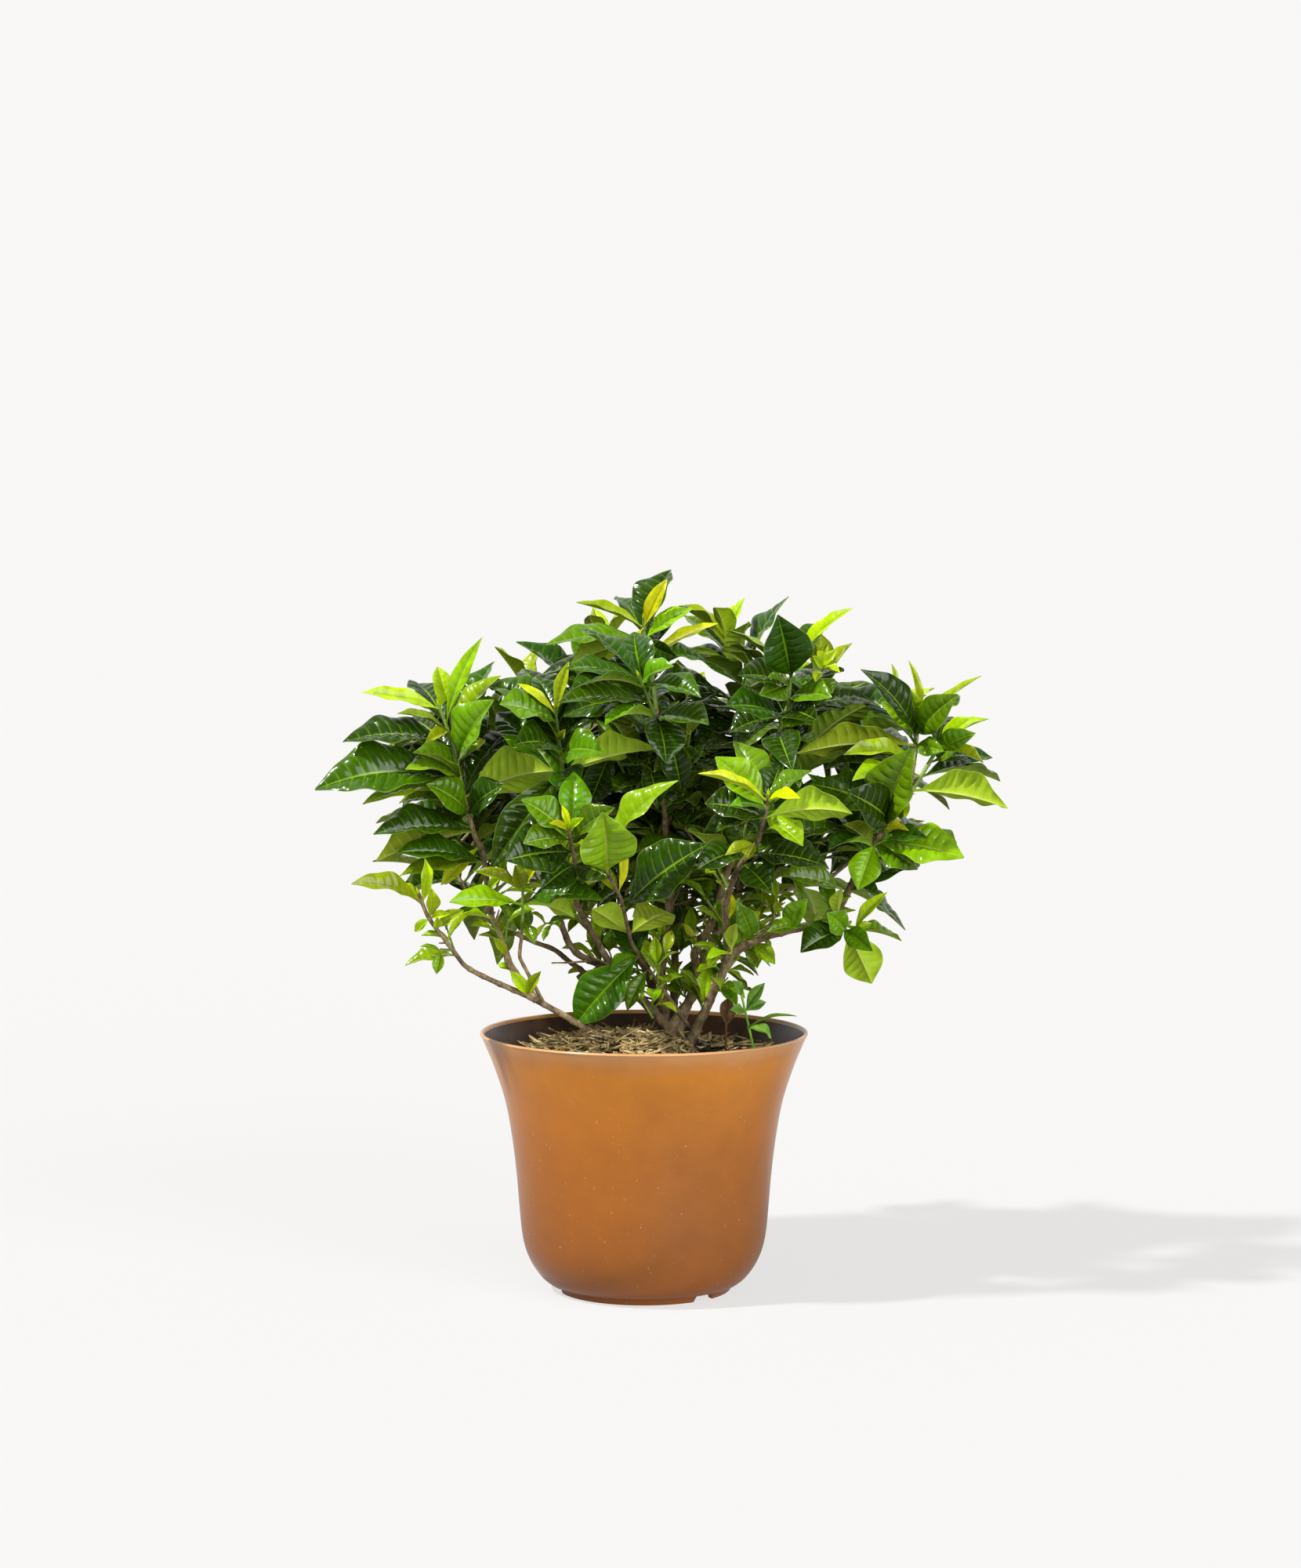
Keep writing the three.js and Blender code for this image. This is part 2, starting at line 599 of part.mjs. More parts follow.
// Where along its length a blade has its rows of points: more rows on a longer leaf.
function bladeStops(leaf) {
  if (leaf.length > LONG_LEAF && leaf.seed < RULE_SEED) return [0.28, 0.54, 0.8];
  return leaf.length > SHORT_LEAF ? [0.34, 0.7] : [0.52];
}

// The points of a blade's rows, upper face then lower face at each, and its faces past the first row.
function bladeRows(leaf, thick, spare = 0) {
  const stops = bladeStops(leaf);
  const points = [];
  const put = (s, v) => {
    const { point, face } = bladePoint(leaf, s, v * (1 + (2 * spare) / leaf.wide));
    points.push(add(point, face, thick / 2), add(point, face, -thick / 2));
  };
  for (const s of stops) for (const v of [-1, 0, 1]) put(s, v);
  put(1, 0);
  const faces = [];
  // Upper faces turn one way round and lower faces, one point on, the other way.
  const both = (a, b, c) => faces.push([2 * a, 2 * b, 2 * c], [2 * c + 1, 2 * b + 1, 2 * a + 1]);
  const wall = (a, b) => {
    faces.push([2 * a, 2 * a + 1, 2 * b + 1], [2 * a, 2 * b + 1, 2 * b]);
  };
  const last = stops.length * 3;
  for (let i = 0; i + 1 < stops.length; i++) {
    const a = i * 3;
    both(a, a + 1, a + 3);
    both(a + 1, a + 4, a + 3);
    both(a + 1, a + 2, a + 5);
    both(a + 1, a + 5, a + 4);
    wall(a + 3, a);
    wall(a + 2, a + 5);
  }
  both(last, last - 3, last - 2);
  both(last, last - 2, last - 1);
  wall(last, last - 3);
  wall(last - 1, last);
  return { points, faces };
}

// A blade by itself, from a part "start" of its length on, for telling what it would cross.
function bladeAlone(leaf, start, half) {
  const thick = LEAF_THICK + 2 * CLEARANCE;
  const { points, faces } = bladeRows(leaf, thick, CLEARANCE);
  const { point, face } = bladePoint(leaf, start, 0);
  const side = cross(leaf.ahead, face);
  const upLeft = points.length;
  const [upRight, downRight, downLeft] = [1, 2, 3].map((i) => upLeft + i);
  for (const [across, high] of [[-1, 1], [1, 1], [1, -1], [-1, -1]]) {
    points.push(add(add(point, side, across * half), face, high * half));
  }
  faces.push(
    [upLeft, upRight, 2], [upLeft, 2, 0], [upRight, 4, 2], [upRight, downRight, 5],
    [upRight, 5, 4], [downRight, downLeft, 3], [downRight, 3, 5], [downLeft, 1, 3],
    [downLeft, upLeft, 0], [downLeft, 0, 1],
    [upRight, upLeft, downLeft], [upRight, downLeft, downRight],
  );
  return { points, faces };
}

// A stem with its leaves drawn out of cells of its own skin, so that each is one with the stem.
function leafyStem(section) {
  const { stem, from, to, leaves } = section;
  const sides = STEM_SIDES;
  const stops = new Set([from, to]);
  for (const { cell } of leaves) {
    stops.add(cellStart(section, cell));
    stops.add(cellStart(section, cell + 1));
  }
  const held = new Set(leaves.map(({ cell }) => cell));
  for (const reach of stem.line.reach) {
    const cell = Math.floor((reach - cellStart(section, 0)) / CELL);
    if (reach < from + 1 || reach > to - 1 || held.has(cell)) continue;
    if ([...stops].every((stop) => Math.abs(stop - reach) > 0.8)) stops.add(reach);
  }
  const lengths = [...stops].sort((a, b) => a - b);
  const { points, faces } = skinOf(ringsAt(stem, lengths));
  const open = new Set();
  const drawn = [];
  for (const { leaf, cell, side } of leaves) {
    const row = lengths.indexOf(cellStart(section, cell));
    open.add(2 * (row * sides + side)).add(2 * (row * sides + side) + 1);
    const next = (side + 1) % sides;
    const low = row * sides;
    const quad = [low + side, low + next, low + sides + next, low + sides + side];
    drawn.push(...drawOut(leaf, quad, points));
  }
  return { points, faces: [...faces.filter((face, i) => !open.has(i)), ...drawn] };
}

// Adds a leaf's points and gives the faces that join it to a cell's four corners.
function drawOut(leaf, quad, points) {
  const blade = bladeRows(leaf, LEAF_THICK);
  const first = points.length;
  points.push(...blade.points);
  const corners = quad.map((i) => points[i]);
  const middle = times(corners.reduce((sum, corner) => add(sum, corner), [0, 0, 0]), 0.25);
  // Upper left, upper right, lower right and lower left of the blade's first row.
  const ends = [0, 4, 5, 1];
  const heart = times(add(blade.points[2], blade.points[3]), 0.5);
  let best = null;
  for (let shift = 0; shift < 4; shift++) {
    let match = 0;
    for (let i = 0; i < 4; i++) {
      const corner = sub(corners[(i + shift) % 4], middle);
      const end = sub(blade.points[ends[i]], heart);
      match += dot(unit(corner), unit(end));
    }
    if (!best || match > best.match) best = { match, shift };
  }
  const q = [0, 1, 2, 3].map((i) => quad[(i + best.shift) % 4]);
  const [upLeft, upRight, downRight, downLeft, upMiddle, downMiddle] =
    [0, 4, 5, 1, 2, 3].map((i) => first + i);
  return [
    [q[0], q[1], upMiddle], [q[0], upMiddle, upLeft], [q[1], upRight, upMiddle],
    [q[1], q[2], downRight], [q[1], downRight, upRight],
    [q[2], q[3], downMiddle], [q[2], downMiddle, downRight], [q[3], downLeft, downMiddle],
    [q[3], q[0], upLeft], [q[3], upLeft, downLeft],
    ...blade.faces.map((face) => face.map((i) => i + first)),
  ];
}

// A leaf's frame from its root, tip and the way its upper face looks.
function leafOf(root, tip, look, wide, age, seed) {
  const draw = chance(seed);
  const along = sub(tip, root);
  const length = size(along);
  const ahead = unit(along);
  const up = unit(sub(look, times(ahead, dot(look, ahead))));
  const soft = age > 2;
  return {
    root, tip, ahead, up, length, wide, age, seed,
    across: cross(ahead, up),
    arch: (soft ? 0.03 : 0.05) + 0.07 * draw(),
    fold: radians((soft ? 26 : 12) + 16 * draw()),
    twist: radians(-24 + 48 * draw()),
    wave: 0.1 * draw(),
    phase: 6 * draw(),
  };
}

// A leaf read by eye. change is [depth of the tip, turn, part of the length].
function readLeaf(root, row, seed, change) {
  const [, across, up, reach, wide, turn, age] = row;
  const shown = seen([across, up, root[1]]);
  const flat = size(sub(shown, root));
  const deep = Math.sqrt(Math.max(0, reach * reach - flat * flat)) * Math.sign(reach) + change[0];
  const tip = seen([across, up, root[1] + deep]);
  const end = add(root, sub(tip, root), change[2]);
  const ahead = unit(sub(end, root));
  const toEye = unit(sub(EYE, root));
  const shows = unit(sub(toEye, times(ahead, dot(toEye, ahead))));
  let rise = cross(ahead, shows);
  if (Math.abs(rise[2]) < 0.15 ? rise[0] < 0 : rise[2] < 0) rise = times(rise, -1);
  const angle = radians(turn + change[1]);
  const look = add(times(shows, Math.cos(angle)), rise, Math.sin(angle));
  return leafOf(root, end, look, wide * (0.5 + 0.5 * change[2]), age, seed);
}

// A leaf placed by rule around its stem: pairs and whorls that turn from one to the next, long
// and spreading low on the shoot, short and steep near its end.
function ruleLeaf(root, heading, place, order, seed, change) {
  const draw = chance(seed);
  const flat = Math.abs(heading[2]) < 0.95 ? [0, 0, 1] : [1, 0, 0];
  const east = unit(cross(heading, flat));
  const north = cross(heading, east);
  const around = order + (draw() - 0.5) * 0.7 + radians(change[1] * 2);
  const steep = radians(68 - 34 * place + 14 * (draw() - 0.5) + change[0] * 0.6);
  const out = add(times(east, Math.cos(around)), north, Math.sin(around));
  const lean = add(times(heading, Math.cos(steep)), out, Math.sin(steep));
  const ahead = unit(add(lean, [0, 0, -0.16 * (1 - place)]));
  const length = (84 - 34 * place * place + 18 * (draw() - 0.5)) * change[2];
  const look = add(times(heading, 0.6), [0, 0, 0.8]);
  const side = cross(ahead, look);
  const tilt = radians(40 * (draw() - 0.5));
  const face = add(times(look, Math.cos(tilt)), unit(side), Math.sin(tilt));
  const age = place > 0.93 ? 3 : place > 0.7 ? 1 : 0;
  return leafOf(root, add(root, ahead, length), face, length * (0.4 + 0.07 * draw()), age, seed);
}

// Crossings

function edgesOf(faces) {
  const known = new Set();
  const edges = [];
  for (const face of faces) {
    for (let i = 0; i < 3; i++) {
      const a = Math.min(face[i], face[(i + 1) % 3]);
      const b = Math.max(face[i], face[(i + 1) % 3]);
      if (!known.has(a * 4096 + b)) {
        known.add(a * 4096 + b);
        edges.push([a, b]);
      }
    }
  }
  return edges;
}

function boxOf(points) {
  const low = [Infinity, Infinity, Infinity];
  const high = [-Infinity, -Infinity, -Infinity];
  for (const point of points) {
    for (let i = 0; i < 3; i++) {
      low[i] = Math.min(low[i], point[i]);
      high[i] = Math.max(high[i], point[i]);
    }
  }
  return [low, high];
}

const apart = (a, b) =>
  a[1][0] < b[0][0] || b[1][0] < a[0][0] || a[1][1] < b[0][1] || b[1][1] < a[0][1] ||
  a[1][2] < b[0][2] || b[1][2] < a[0][2];

// What a skin takes up: its points, faces and edges, with a box round each.
function bodyOf({ points, faces }) {
  const corners = faces.map((face) => face.map((i) => points[i]));
  const edges = edgesOf(faces).map((edge) => edge.map((i) => points[i]));
  return {
    points,
    box: boxOf(points),
    faces: corners.map((face) => ({ face, box: boxOf(face) })),
    edges: edges.map((edge) => ({ edge, box: boxOf(edge) })),
  };
}

function edgeMeetsFace([from, to], [a, b, c]) {
  const way = sub(to, from);
  const ab = sub(b, a);
  const ac = sub(c, a);
  const p = cross(way, ac);
  const turn = dot(ab, p);
  if (Math.abs(turn) < 1e-9) return false;
  const start = sub(from, a);
  const u = dot(start, p) / turn;
  if (u < 0 || u > 1) return false;
  const q = cross(start, ab);
  const v = dot(way, q) / turn;
  if (v < 0 || u + v > 1) return false;
  const t = dot(ac, q) / turn;
  return t >= 0 && t <= 1;
}

function oneWay(one, two) {
  const faces = two.faces.filter(({ box }) => !apart(box, one.box));
  for (const { edge, box } of one.edges) {
    if (apart(box, two.box)) continue;
    for (const other of faces) {
      if (!apart(box, other.box) && edgeMeetsFace(edge, other.face)) return true;
    }
  }
  return false;
}

const meet = (one, two) => !apart(one.box, two.box) && (oneWay(one, two) || oneWay(two, one));

// Whether a body gets into the pot, or into what fills it.
function inPot(body) {
  for (const { edge } of body.edges) {
    for (const k of [0, 0.25, 0.5, 0.75, 1]) {
      const [x, y, z] = add(edge[0], sub(edge[1], edge[0]), k);
      const out = Math.hypot(x, y);
      if (z < 202 && out < 130 && !(z > 198.5 && out < 116)) return true;
    }
  }
  return false;
}

// Growing

const nodes = new Map();
const taken = [];

function nodeFor(name, kind) {
  if (!nodes.has(name)) nodes.set(name, { kind, sections: [] });
  return nodes.get(name);
}

const cellStart = (section, cell) => section.from + 1 + cell * CELL;

function putStem(name, kind, stem, from, to) {
  const cells = Math.max(1, Math.floor((to - from - 1.6) / CELL));
  const body = bodyOf(skinOf(stemRings(stem, from, to, CLEARANCE + 0.15)));
  const section = { node: name, stem, from, to, cells, used: new Set(), leaves: [], body };
  nodeFor(name, kind).sections.push(section);
  taken.push({ node: name, section, whole: body });
  return section;
}

function rootAt(section, cell) {
  const { line } = section.stem;
  const low = pointAt(line, cellStart(section, cell));
  return times(add(low, pointAt(line, cellStart(section, cell + 1))), 0.5);
}

// The free cell nearest to a length, on the side of the stem that the leaf leaves by.
function findCell(section, length, ahead) {
  const { line } = section.stem;
  const wanted = Math.floor((length - cellStart(section, 0)) / CELL);
  const level = Math.round(wanted / WHORL_CELLS) * WHORL_CELLS;
  const first = Math.min(Math.max(level, 0), section.cells - 1);
  for (const step of [0, 1, -1, 2, -2, 3, -3]) {
    const cell = first + step;
    if (cell < 0 || cell >= section.cells) continue;
    const low = pointAt(line, cellStart(section, cell));
    const heading = unit(sub(pointAt(line, cellStart(section, cell + 1)), low));
    const [east, north] = ringFrame(levelAxis(line), heading);
    const angle = Math.atan2(dot(ahead, north), dot(ahead, east));
    const turn = (angle / (2 * Math.PI)) * STEM_SIDES;
    for (const beside of [0, turn - Math.floor(turn) > 0.5 ? 1 : -1]) {
      const side = (Math.floor(turn) + beside + STEM_SIDES) % STEM_SIDES;
      if (!section.used.has(cell * 16 + side)) return { cell, side };
    }
  }
  return null;
}

// Grows a leaf by the first of the changes that keeps it clear of all else, if one does.
function grow(section, length, changes, make) {
  for (const change of changes) {
    const start = pointAt(section.stem.line, length);
    const place = findCell(section, length, make(start, change).ahead);
    if (!place) continue;
    const leaf = make(rootAt(section, place.cell), change);
    const whole = bodyOf(bladeAlone(leaf, 0, ROOT_HALF));
    if (inPot(whole)) continue;
    const near = Math.min(0.4, NEAR_STEM / leaf.length);
    const blade = bodyOf(bladeAlone(leaf, near, 0.6));
    const away = bodyOf(bladeAlone(leaf, near * 1.3, 0.6));
    const clear = taken.every((other) => {
      if (other.node !== section.node) return !meet(whole, other.whole);
      if (other.section === section) return !meet(away, other.whole);
      return other.section ? true : !meet(blade, other.blade);
    });
    if (clear) {
      taken.push({ node: section.node, whole, blade });
      section.used.add(place.cell * 16 + place.side);
      section.leaves.push({ leaf, ...place });
      return;
    }
  }
}

const MOVES = [
  [0, 0], [9, 0], [-9, 0], [0, 14], [0, -14], [16, 8], [-16, 8], [16, -8], [-16, -8], [26, 0],
  [-26, 0], [34, 14], [-34, 14], [44, -14], [-44, -14],
];
const READ_CHANGES = [1, 0.86, 0.72, 0.6].flatMap((part) => MOVES.map((move) => [...move, part]));
const RULE_CHANGES = [1, 0.84, 0.68].flatMap((part) => MOVES.map((move) => [...move, part]));

const stems = new Map();

function growStems(shoot) {
  const parent = shoot.from ? stems.get(shoot.from[0]) : null;
  const own = shoot.path.map(seen);
  if (parent) own.unshift(pointAt(parent.line, lengthAt(parent.line, shoot.from[1])));
  else own.unshift([own[0][0], own[0][1], TRUNK_FOOT]);
  const line = lineOf(own);
  const first = parent ? 0 : 1;
  const green = lengthAt(line, shoot.green + first);
  const young = shoot.young ? lengthAt(line, shoot.young + first) : Infinity;
  const stem = { line, first, green, young, thick: shoot.thick, wood: `wood_${shoot.name}` };
  if (parent) {
    const place = lengthAt(parent.line, shoot.from[1]);
    stem.wood = place > parent.green ? `leaves_${shoot.from[0]}` : parent.wood;
  }
  stems.set(shoot.name, stem);
  const { name } = shoot;
  const barkKind = stem.wood.startsWith("wood") ? "wood" : "leaves";
  const leafKind = shoot.soft ? "young" : "leaves";
  const split = Math.min(young - GAP / 2, line.length);
  stem.barkPart = putStem(stem.wood, barkKind, stem, 0, green - GAP / 2);
  stem.leafPart = putStem(`leaves_${name}`, leafKind, stem, green + GAP / 2, split);
  if (shoot.young) {
    stem.youngPart = putStem(`young_${name}`, "young", stem, young + GAP / 2, line.length);
  }
  if (!parent) holes.push(stem);
}

function growReadLeaves(shoot, index) {
  const stem = stems.get(shoot.name);
  const { line, green, young } = stem;
  (shoot.leaves || []).forEach((row, i) => {
    const length = lengthAt(line, row[0] + stem.first);
    let section = stem.leafPart;
    if (row[6] > 2 && stem.youngPart && length > young - 12) section = stem.youngPart;
    else if (length < green - 5) section = stem.barkPart;
    const seed = index * 100 + i;
    const make = (root, change) => readLeaf(root, row, seed, change);
    grow(section, length, READ_CHANGES, make);
  });
}

function growRuleLeaves(shoot, index) {
  const { leafPart: section } = stems.get(shoot.name);
  const pairs = shoot.rule || shoot.fill || 0;
  for (let i = 0; i < pairs; i++) {
    const place = pairs > 1 ? i / (pairs - 1) : 1;
    const length = section.from + 3 + (section.to - section.from - 5) * place;
    const heading = headingAt(section.stem.line, length);
    const many = shoot.rule ? 3 - (i % 2) : 2;
    for (let j = 0; j < many; j++) {
      const order = i * WHORL_TURN + (2 * Math.PI * j) / many;
      const seed = RULE_SEED + index * 100 + i * 4 + j;
      const part = shoot.rule ? place : place * 0.7;
      const make = (root, change) => ruleLeaf(root, heading, part, order, seed, change);
      const first = make([0, 0, 0], [0, 0, 1]);
      if (shoot.fill && first.ahead[1] < 0.05) continue;
      grow(section, length, RULE_CHANGES, make);
    }
  }
}

// A small plant that stands in the soil by itself.
function growSmall(name, plant, index) {
  const own = plant.path.map(seen);
  own.unshift([own[0][0], own[0][1], TRUNK_FOOT + 20]);
  const line = lineOf(own);
  const stem = { line, first: 1, thick: plant.thick };
  const section = putStem(name, name, stem, 0, line.length);
  plant.leaves.forEach((row, i) => {
    const make = (root, change) => readLeaf(root, row, index * 100 + i, change);
    grow(section, lengthAt(line, row[0] + 1), READ_CHANGES, make);
  });
  holes.push(stem);
}

const holes = [];
SHOOTS.forEach(growStems);
SHOOTS.forEach(growReadLeaves);
growSmall("weed", WEED, 90);
growSmall("dead_leaf", DEAD_LEAF, 91);
SHOOTS.forEach(growRuleLeaves);

// Pot

function turned(profile, sides) {
  const points = profile.map(([radius, up]) => new THREE.Vector2(radius, up));
  const geometry = new THREE.LatheGeometry(points, sides);
  geometry.rotateX(Math.PI / 2);
  const places = geometry.attributes.position;
  const known = new Map();
  const merged = [];
  const index = [];
  for (let i = 0; i < places.count; i++) {
    const point = [places.getX(i), places.getY(i), places.getZ(i)];
    const key = point.map((value) => Math.round(value * 1000)).join();
    if (!known.has(key)) {
      known.set(key, merged.length);
      merged.push(point);
    }
    index.push(known.get(key));
  }
  const faces = [];
  for (let i = 0; i < geometry.index.count; i += 3) {
    const face = [0, 1, 2].map((j) => index[geometry.index.getX(i + j)]);
    if (new Set(face).size === 3) faces.push(face);
  }
  const made = solid(merged, faces);
  return made.volume() > 0 ? made : solid(merged, faces.map((face) => [...face].reverse()));
}

function blockAt(angle, inner, outer, wide, low, high) {
  const out = [Math.cos(radians(angle)), Math.sin(radians(angle)), 0];
  const side = [-out[1], out[0], 0];
  const points = [];
  for (const z of [low, high]) {
    for (const [radius, across] of [[inner, -1], [outer, -1], [outer, 1], [inner, 1]]) {
      const place = add(times(out, radius), side, (across * wide) / 2);
      points.push([place[0], place[1], z]);
    }
  }
  const faces = [
    [0, 2, 1], [0, 3, 2], [4, 5, 6], [4, 6, 7], [0, 1, 5], [0, 5, 4],
    [1, 2, 6], [1, 6, 5], [2, 3, 7], [2, 7, 6], [3, 0, 4], [3, 4, 7],
  ];
  return solid(points, faces);
}

function makePot() {
  const profile = [
    [0, 0], [FOOT_DISC_RADIUS, 0], [FOOT_DISC_RADIUS + 2, FOOT_RECESS],
    [FOOT_RING_INSIDE, FOOT_RECESS], [FOOT_RING_INSIDE + 0.6, 0],
    ...POT_OUTSIDE, ...POT_LIP, ...POT_INSIDE, [0, POT_FLOOR_TOP],
  ];
  const notches = NOTCH_ANGLES.map((angle) => blockAt(angle, 56, 76, NOTCH_WIDTH, -1, NOTCH_HEIGHT));
  return Manifold.difference([turned(profile, POT_SIDES), ...notches]);
}

// Soil and mulch

// Height of the soil: heaped in the middle, lowest at the left wall and gently uneven.
function soilTop(x, y) {
  const out = Math.hypot(x, y);
  const uneven = 0.9 * Math.sin(x / 17 + 1) + 0.8 * Math.sin(y / 15 + x / 31);
  return SOIL_LEVEL - out * out * SOIL_FALL - Math.max(0, -x - 58) * SOIL_DIP + uneven;
}

function potInsideAt(up) {
  for (let i = 0; i + 1 < POT_INSIDE.length; i++) {
    const [r1, z1] = POT_INSIDE[i];
    const [r2, z2] = POT_INSIDE[i + 1];
    if (up <= z1 && up >= z2) return r2 + ((r1 - r2) * (up - z2)) / (z1 - z2);
  }
  return POT_INSIDE[0][0];
}

const around = (j) => (2 * Math.PI * j) / POT_SIDES;

// The soil's grid of rings, the outermost against the pot's wall.
function soilPoint(ring, j, lift = 0) {
  const cos = Math.cos(around(j));
  const sin = Math.sin(around(j));
  let radius = SOIL_RINGS[ring];
  if (ring === SOIL_RINGS.length) {
    radius = 116;
    for (let i = 0; i < 5; i++) radius = potInsideAt(soilTop(radius * cos, radius * sin)) - GAP;
  }
  const x = radius * cos;
  const y = radius * sin;
  return [x, y, soilTop(x, y) + lift];
}

function makeSoil() {
  const points = [soilPoint(0, 0)];
  const rows = [];
  const ringOf = (make) => {
    const row = [];
    for (let j = 0; j < POT_SIDES; j++) {
      row.push(points.length);
      points.push(make(j));
    }
    rows.push(row);
  };
  for (let ring = 1; ring <= SOIL_RINGS.length; ring++) ringOf((j) => soilPoint(ring, j));
  for (const [radius, up] of POT_INSIDE) {
    if (up > 172) continue;
    const inner = radius - GAP;
    const high = up < 13 ? up + GAP : up;
    ringOf((j) => [inner * Math.cos(around(j)), inner * Math.sin(around(j)), high]);
  }
  points.push([0, 0, POT_FLOOR_TOP + GAP]);
  const faces = [];
  for (let j = 0; j < POT_SIDES; j++) {
    const k = (j + 1) % POT_SIDES;
    faces.push([0, rows[0][j], rows[0][k]]);
    for (let i = 0; i + 1 < rows.length; i++) {
      faces.push([rows[i][j], rows[i + 1][j], rows[i + 1][k]]);
      faces.push([rows[i][j], rows[i + 1][k], rows[i][k]]);
    }
    faces.push([rows[rows.length - 1][j], points.length - 1, rows[rows.length - 1][k]]);
  }
  return solid(points, faces);
}

// A layer of chips on the left of the soil, a fixed gap above it.
function makeMat() {
  const inSector = (j) => {
    const angle = (((j + 0.5) * 360) / POT_SIDES + 360) % 360;
    return angle > MULCH_SECTOR[0] && angle < MULCH_SECTOR[1];
  };
  const cells = [];
  const rings = SOIL_RINGS.length - 1;
  const id = (ring, j) => (ring === 0 ? 0 : 1 + (ring - 1) * POT_SIDES + (j % POT_SIDES));
  for (let j = 0; j < POT_SIDES; j++) {
    if (!inSector(j)) continue;
    cells.push([id(0, 0), id(1, j), id(1, j + 1)]);
    for (let ring = 1; ring < rings; ring++) {
      cells.push([id(ring, j), id(ring + 1, j), id(ring + 1, j + 1)]);
      cells.push([id(ring, j), id(ring + 1, j + 1), id(ring, j + 1)]);
    }
  }
  const used = new Map();
  const low = [];
  const high = [];
  const open = new Map();
  for (const cell of cells) {
    for (let i = 0; i < 3; i++) {
      const [a, b] = [cell[i], cell[(i + 1) % 3]];
      if (open.has(`${b},${a}`)) open.delete(`${b},${a}`);
      else open.set(`${a},${b}`, [a, b]);
    }
  }
  const rim = new Set([...open.values()].flat());
  const draw = chance(777);
  for (const place of new Set(cells.flat())) {
    const ring = place === 0 ? 0 : 1 + Math.floor((place - 1) / POT_SIDES);
    const j = place === 0 ? 0 : (place - 1) % POT_SIDES;
    const bottom = soilPoint(ring, j, GAP);
    used.set(place, low.length);
    low.push(bottom);
    const deep = rim.has(place) ? 1.2 : MULCH_DEEP * (0.5 + 0.8 * draw());
    high.push([bottom[0], bottom[1], bottom[2] + deep]);
  }
  const count = low.length;
  const faces = [];
  for (const cell of cells) {
    const [a, b, c] = cell.map((place) => used.get(place));
    faces.push([a, c, b], [a + count, b + count, c + count]);
  }
  for (const [p, q] of open.values()) {
    const a = used.get(p);
    const b = used.get(q);
    faces.push([a, b, b + count], [a, b + count, a + count]);
  }
  return solid([...low, ...high], faces);
}

// Shredded bark: flat tapered strands that lie every way on the layer, sunk into it.
function makeStrands() {
  const draw = chance(4242);
  const strands = [];
  for (let i = 0; i < MULCH_STRANDS; i++) {
    const angle = radians(95 + 175 * draw());
    const out = 12 + 68 * Math.sqrt(draw());
    const x = out * Math.cos(angle);
    const y = out * Math.sin(angle);
    const way = 2 * Math.PI * draw();
    const long = 12 + 22 * draw();
    const wide = 2.2 + 3 * draw();
    const tilt = 0.34 * (draw() - 0.3);
    const bow = 1.5 * draw();
    const ahead = unit([Math.cos(way), Math.sin(way), tilt]);
    const side = [-Math.sin(way), Math.cos(way), 0.3 * (draw() - 0.5)];
    const lift = 2.6 + 1.8 * draw();
    const rings = [];
    for (const [k, part] of [[-0.5, 0.45], [0, 1], [0.5, 0.35]]) {
      const middle = add([x, y, 0], ahead, long * k);
      const ground = soilTop(middle[0], middle[1]) + GAP + 0.9;
      const raised = soilTop(x, y) + lift + ahead[2] * long * k + bow * (1 - 4 * k * k);
      middle[2] = Math.max(raised, ground + 0.6);
      const half = (wide / 2) * part;
      const edge = times(side, half);
      rings.push([
        add(add(middle, edge), [0, 0, 0.5]),
        add(sub(middle, edge), [0, 0, 0.5]),
        add(middle, [0, 0, -0.9]),
      ]);
    }
    const { points, faces } = skinOf(rings);
    strands.push(solid(points, faces));
  }
  return strands;
}

// Plain upright holes for what stands in the soil.
function holeCutters() {
  return holes.map((stem) => {
    const [x, y, foot] = stem.line.points[0];
    const upright = lineOf([[x, y, foot - GAP], [x, y, HOLE_TOP]]);
    const wide = (stem.thick[0] + 0.35) / Math.cos(Math.PI / STEM_SIDES);
    const hole = { line: upright, thick: [wide, wide] };
    const { points, faces } = skinOf(stemRings(hole, 0, upright.length));
    return solid(points, faces);
  });
}

// The largest connected piece, which leaves out any crumb that a cut has set loose.
function mainPiece(made) {
  return made.decompose().sort((a, b) => b.volume() - a.volume())[0];
}

// Assembly

const part = new THREE.Group();
part.name = "potted_gardenia";

function addNode(name, kind, made) {
  const mesh = made.getMesh();
  const geometry = new THREE.BufferGeometry();
  geometry.setAttribute("position", new THREE.BufferAttribute(mesh.vertProperties, 3));
  geometry.setIndex(new THREE.BufferAttribute(mesh.triVerts, 1));
  geometry.computeVertexNormals();
  const material = new THREE.MeshStandardMaterial({
    color: COLOURS[kind],
    roughness: ROUGH[kind],
    metalness: 0,
  });
  const node = new THREE.Mesh(geometry, material);
  node.name = name;
  part.add(node);
}

const cutters = holeCutters();
addNode("pot", "pot", makePot());
addNode("soil", "soil", Manifold.difference([makeSoil(), ...cutters]));
const layer = Manifold.union([makeMat(), ...makeStrands()]);
addNode("mulch", "mulch", mainPiece(Manifold.difference([layer, ...cutters])));
for (const [name, { kind, sections }] of nodes) {
  const grown = sections.map(leafyStem).map(({ points, faces }) => solid(points, faces));
  addNode(name, kind, Manifold.union(grown));
}

export default part;
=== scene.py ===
"""A gardenia bush in a bell-shaped plastic nursery pot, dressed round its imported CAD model."""

import math
from types import SimpleNamespace

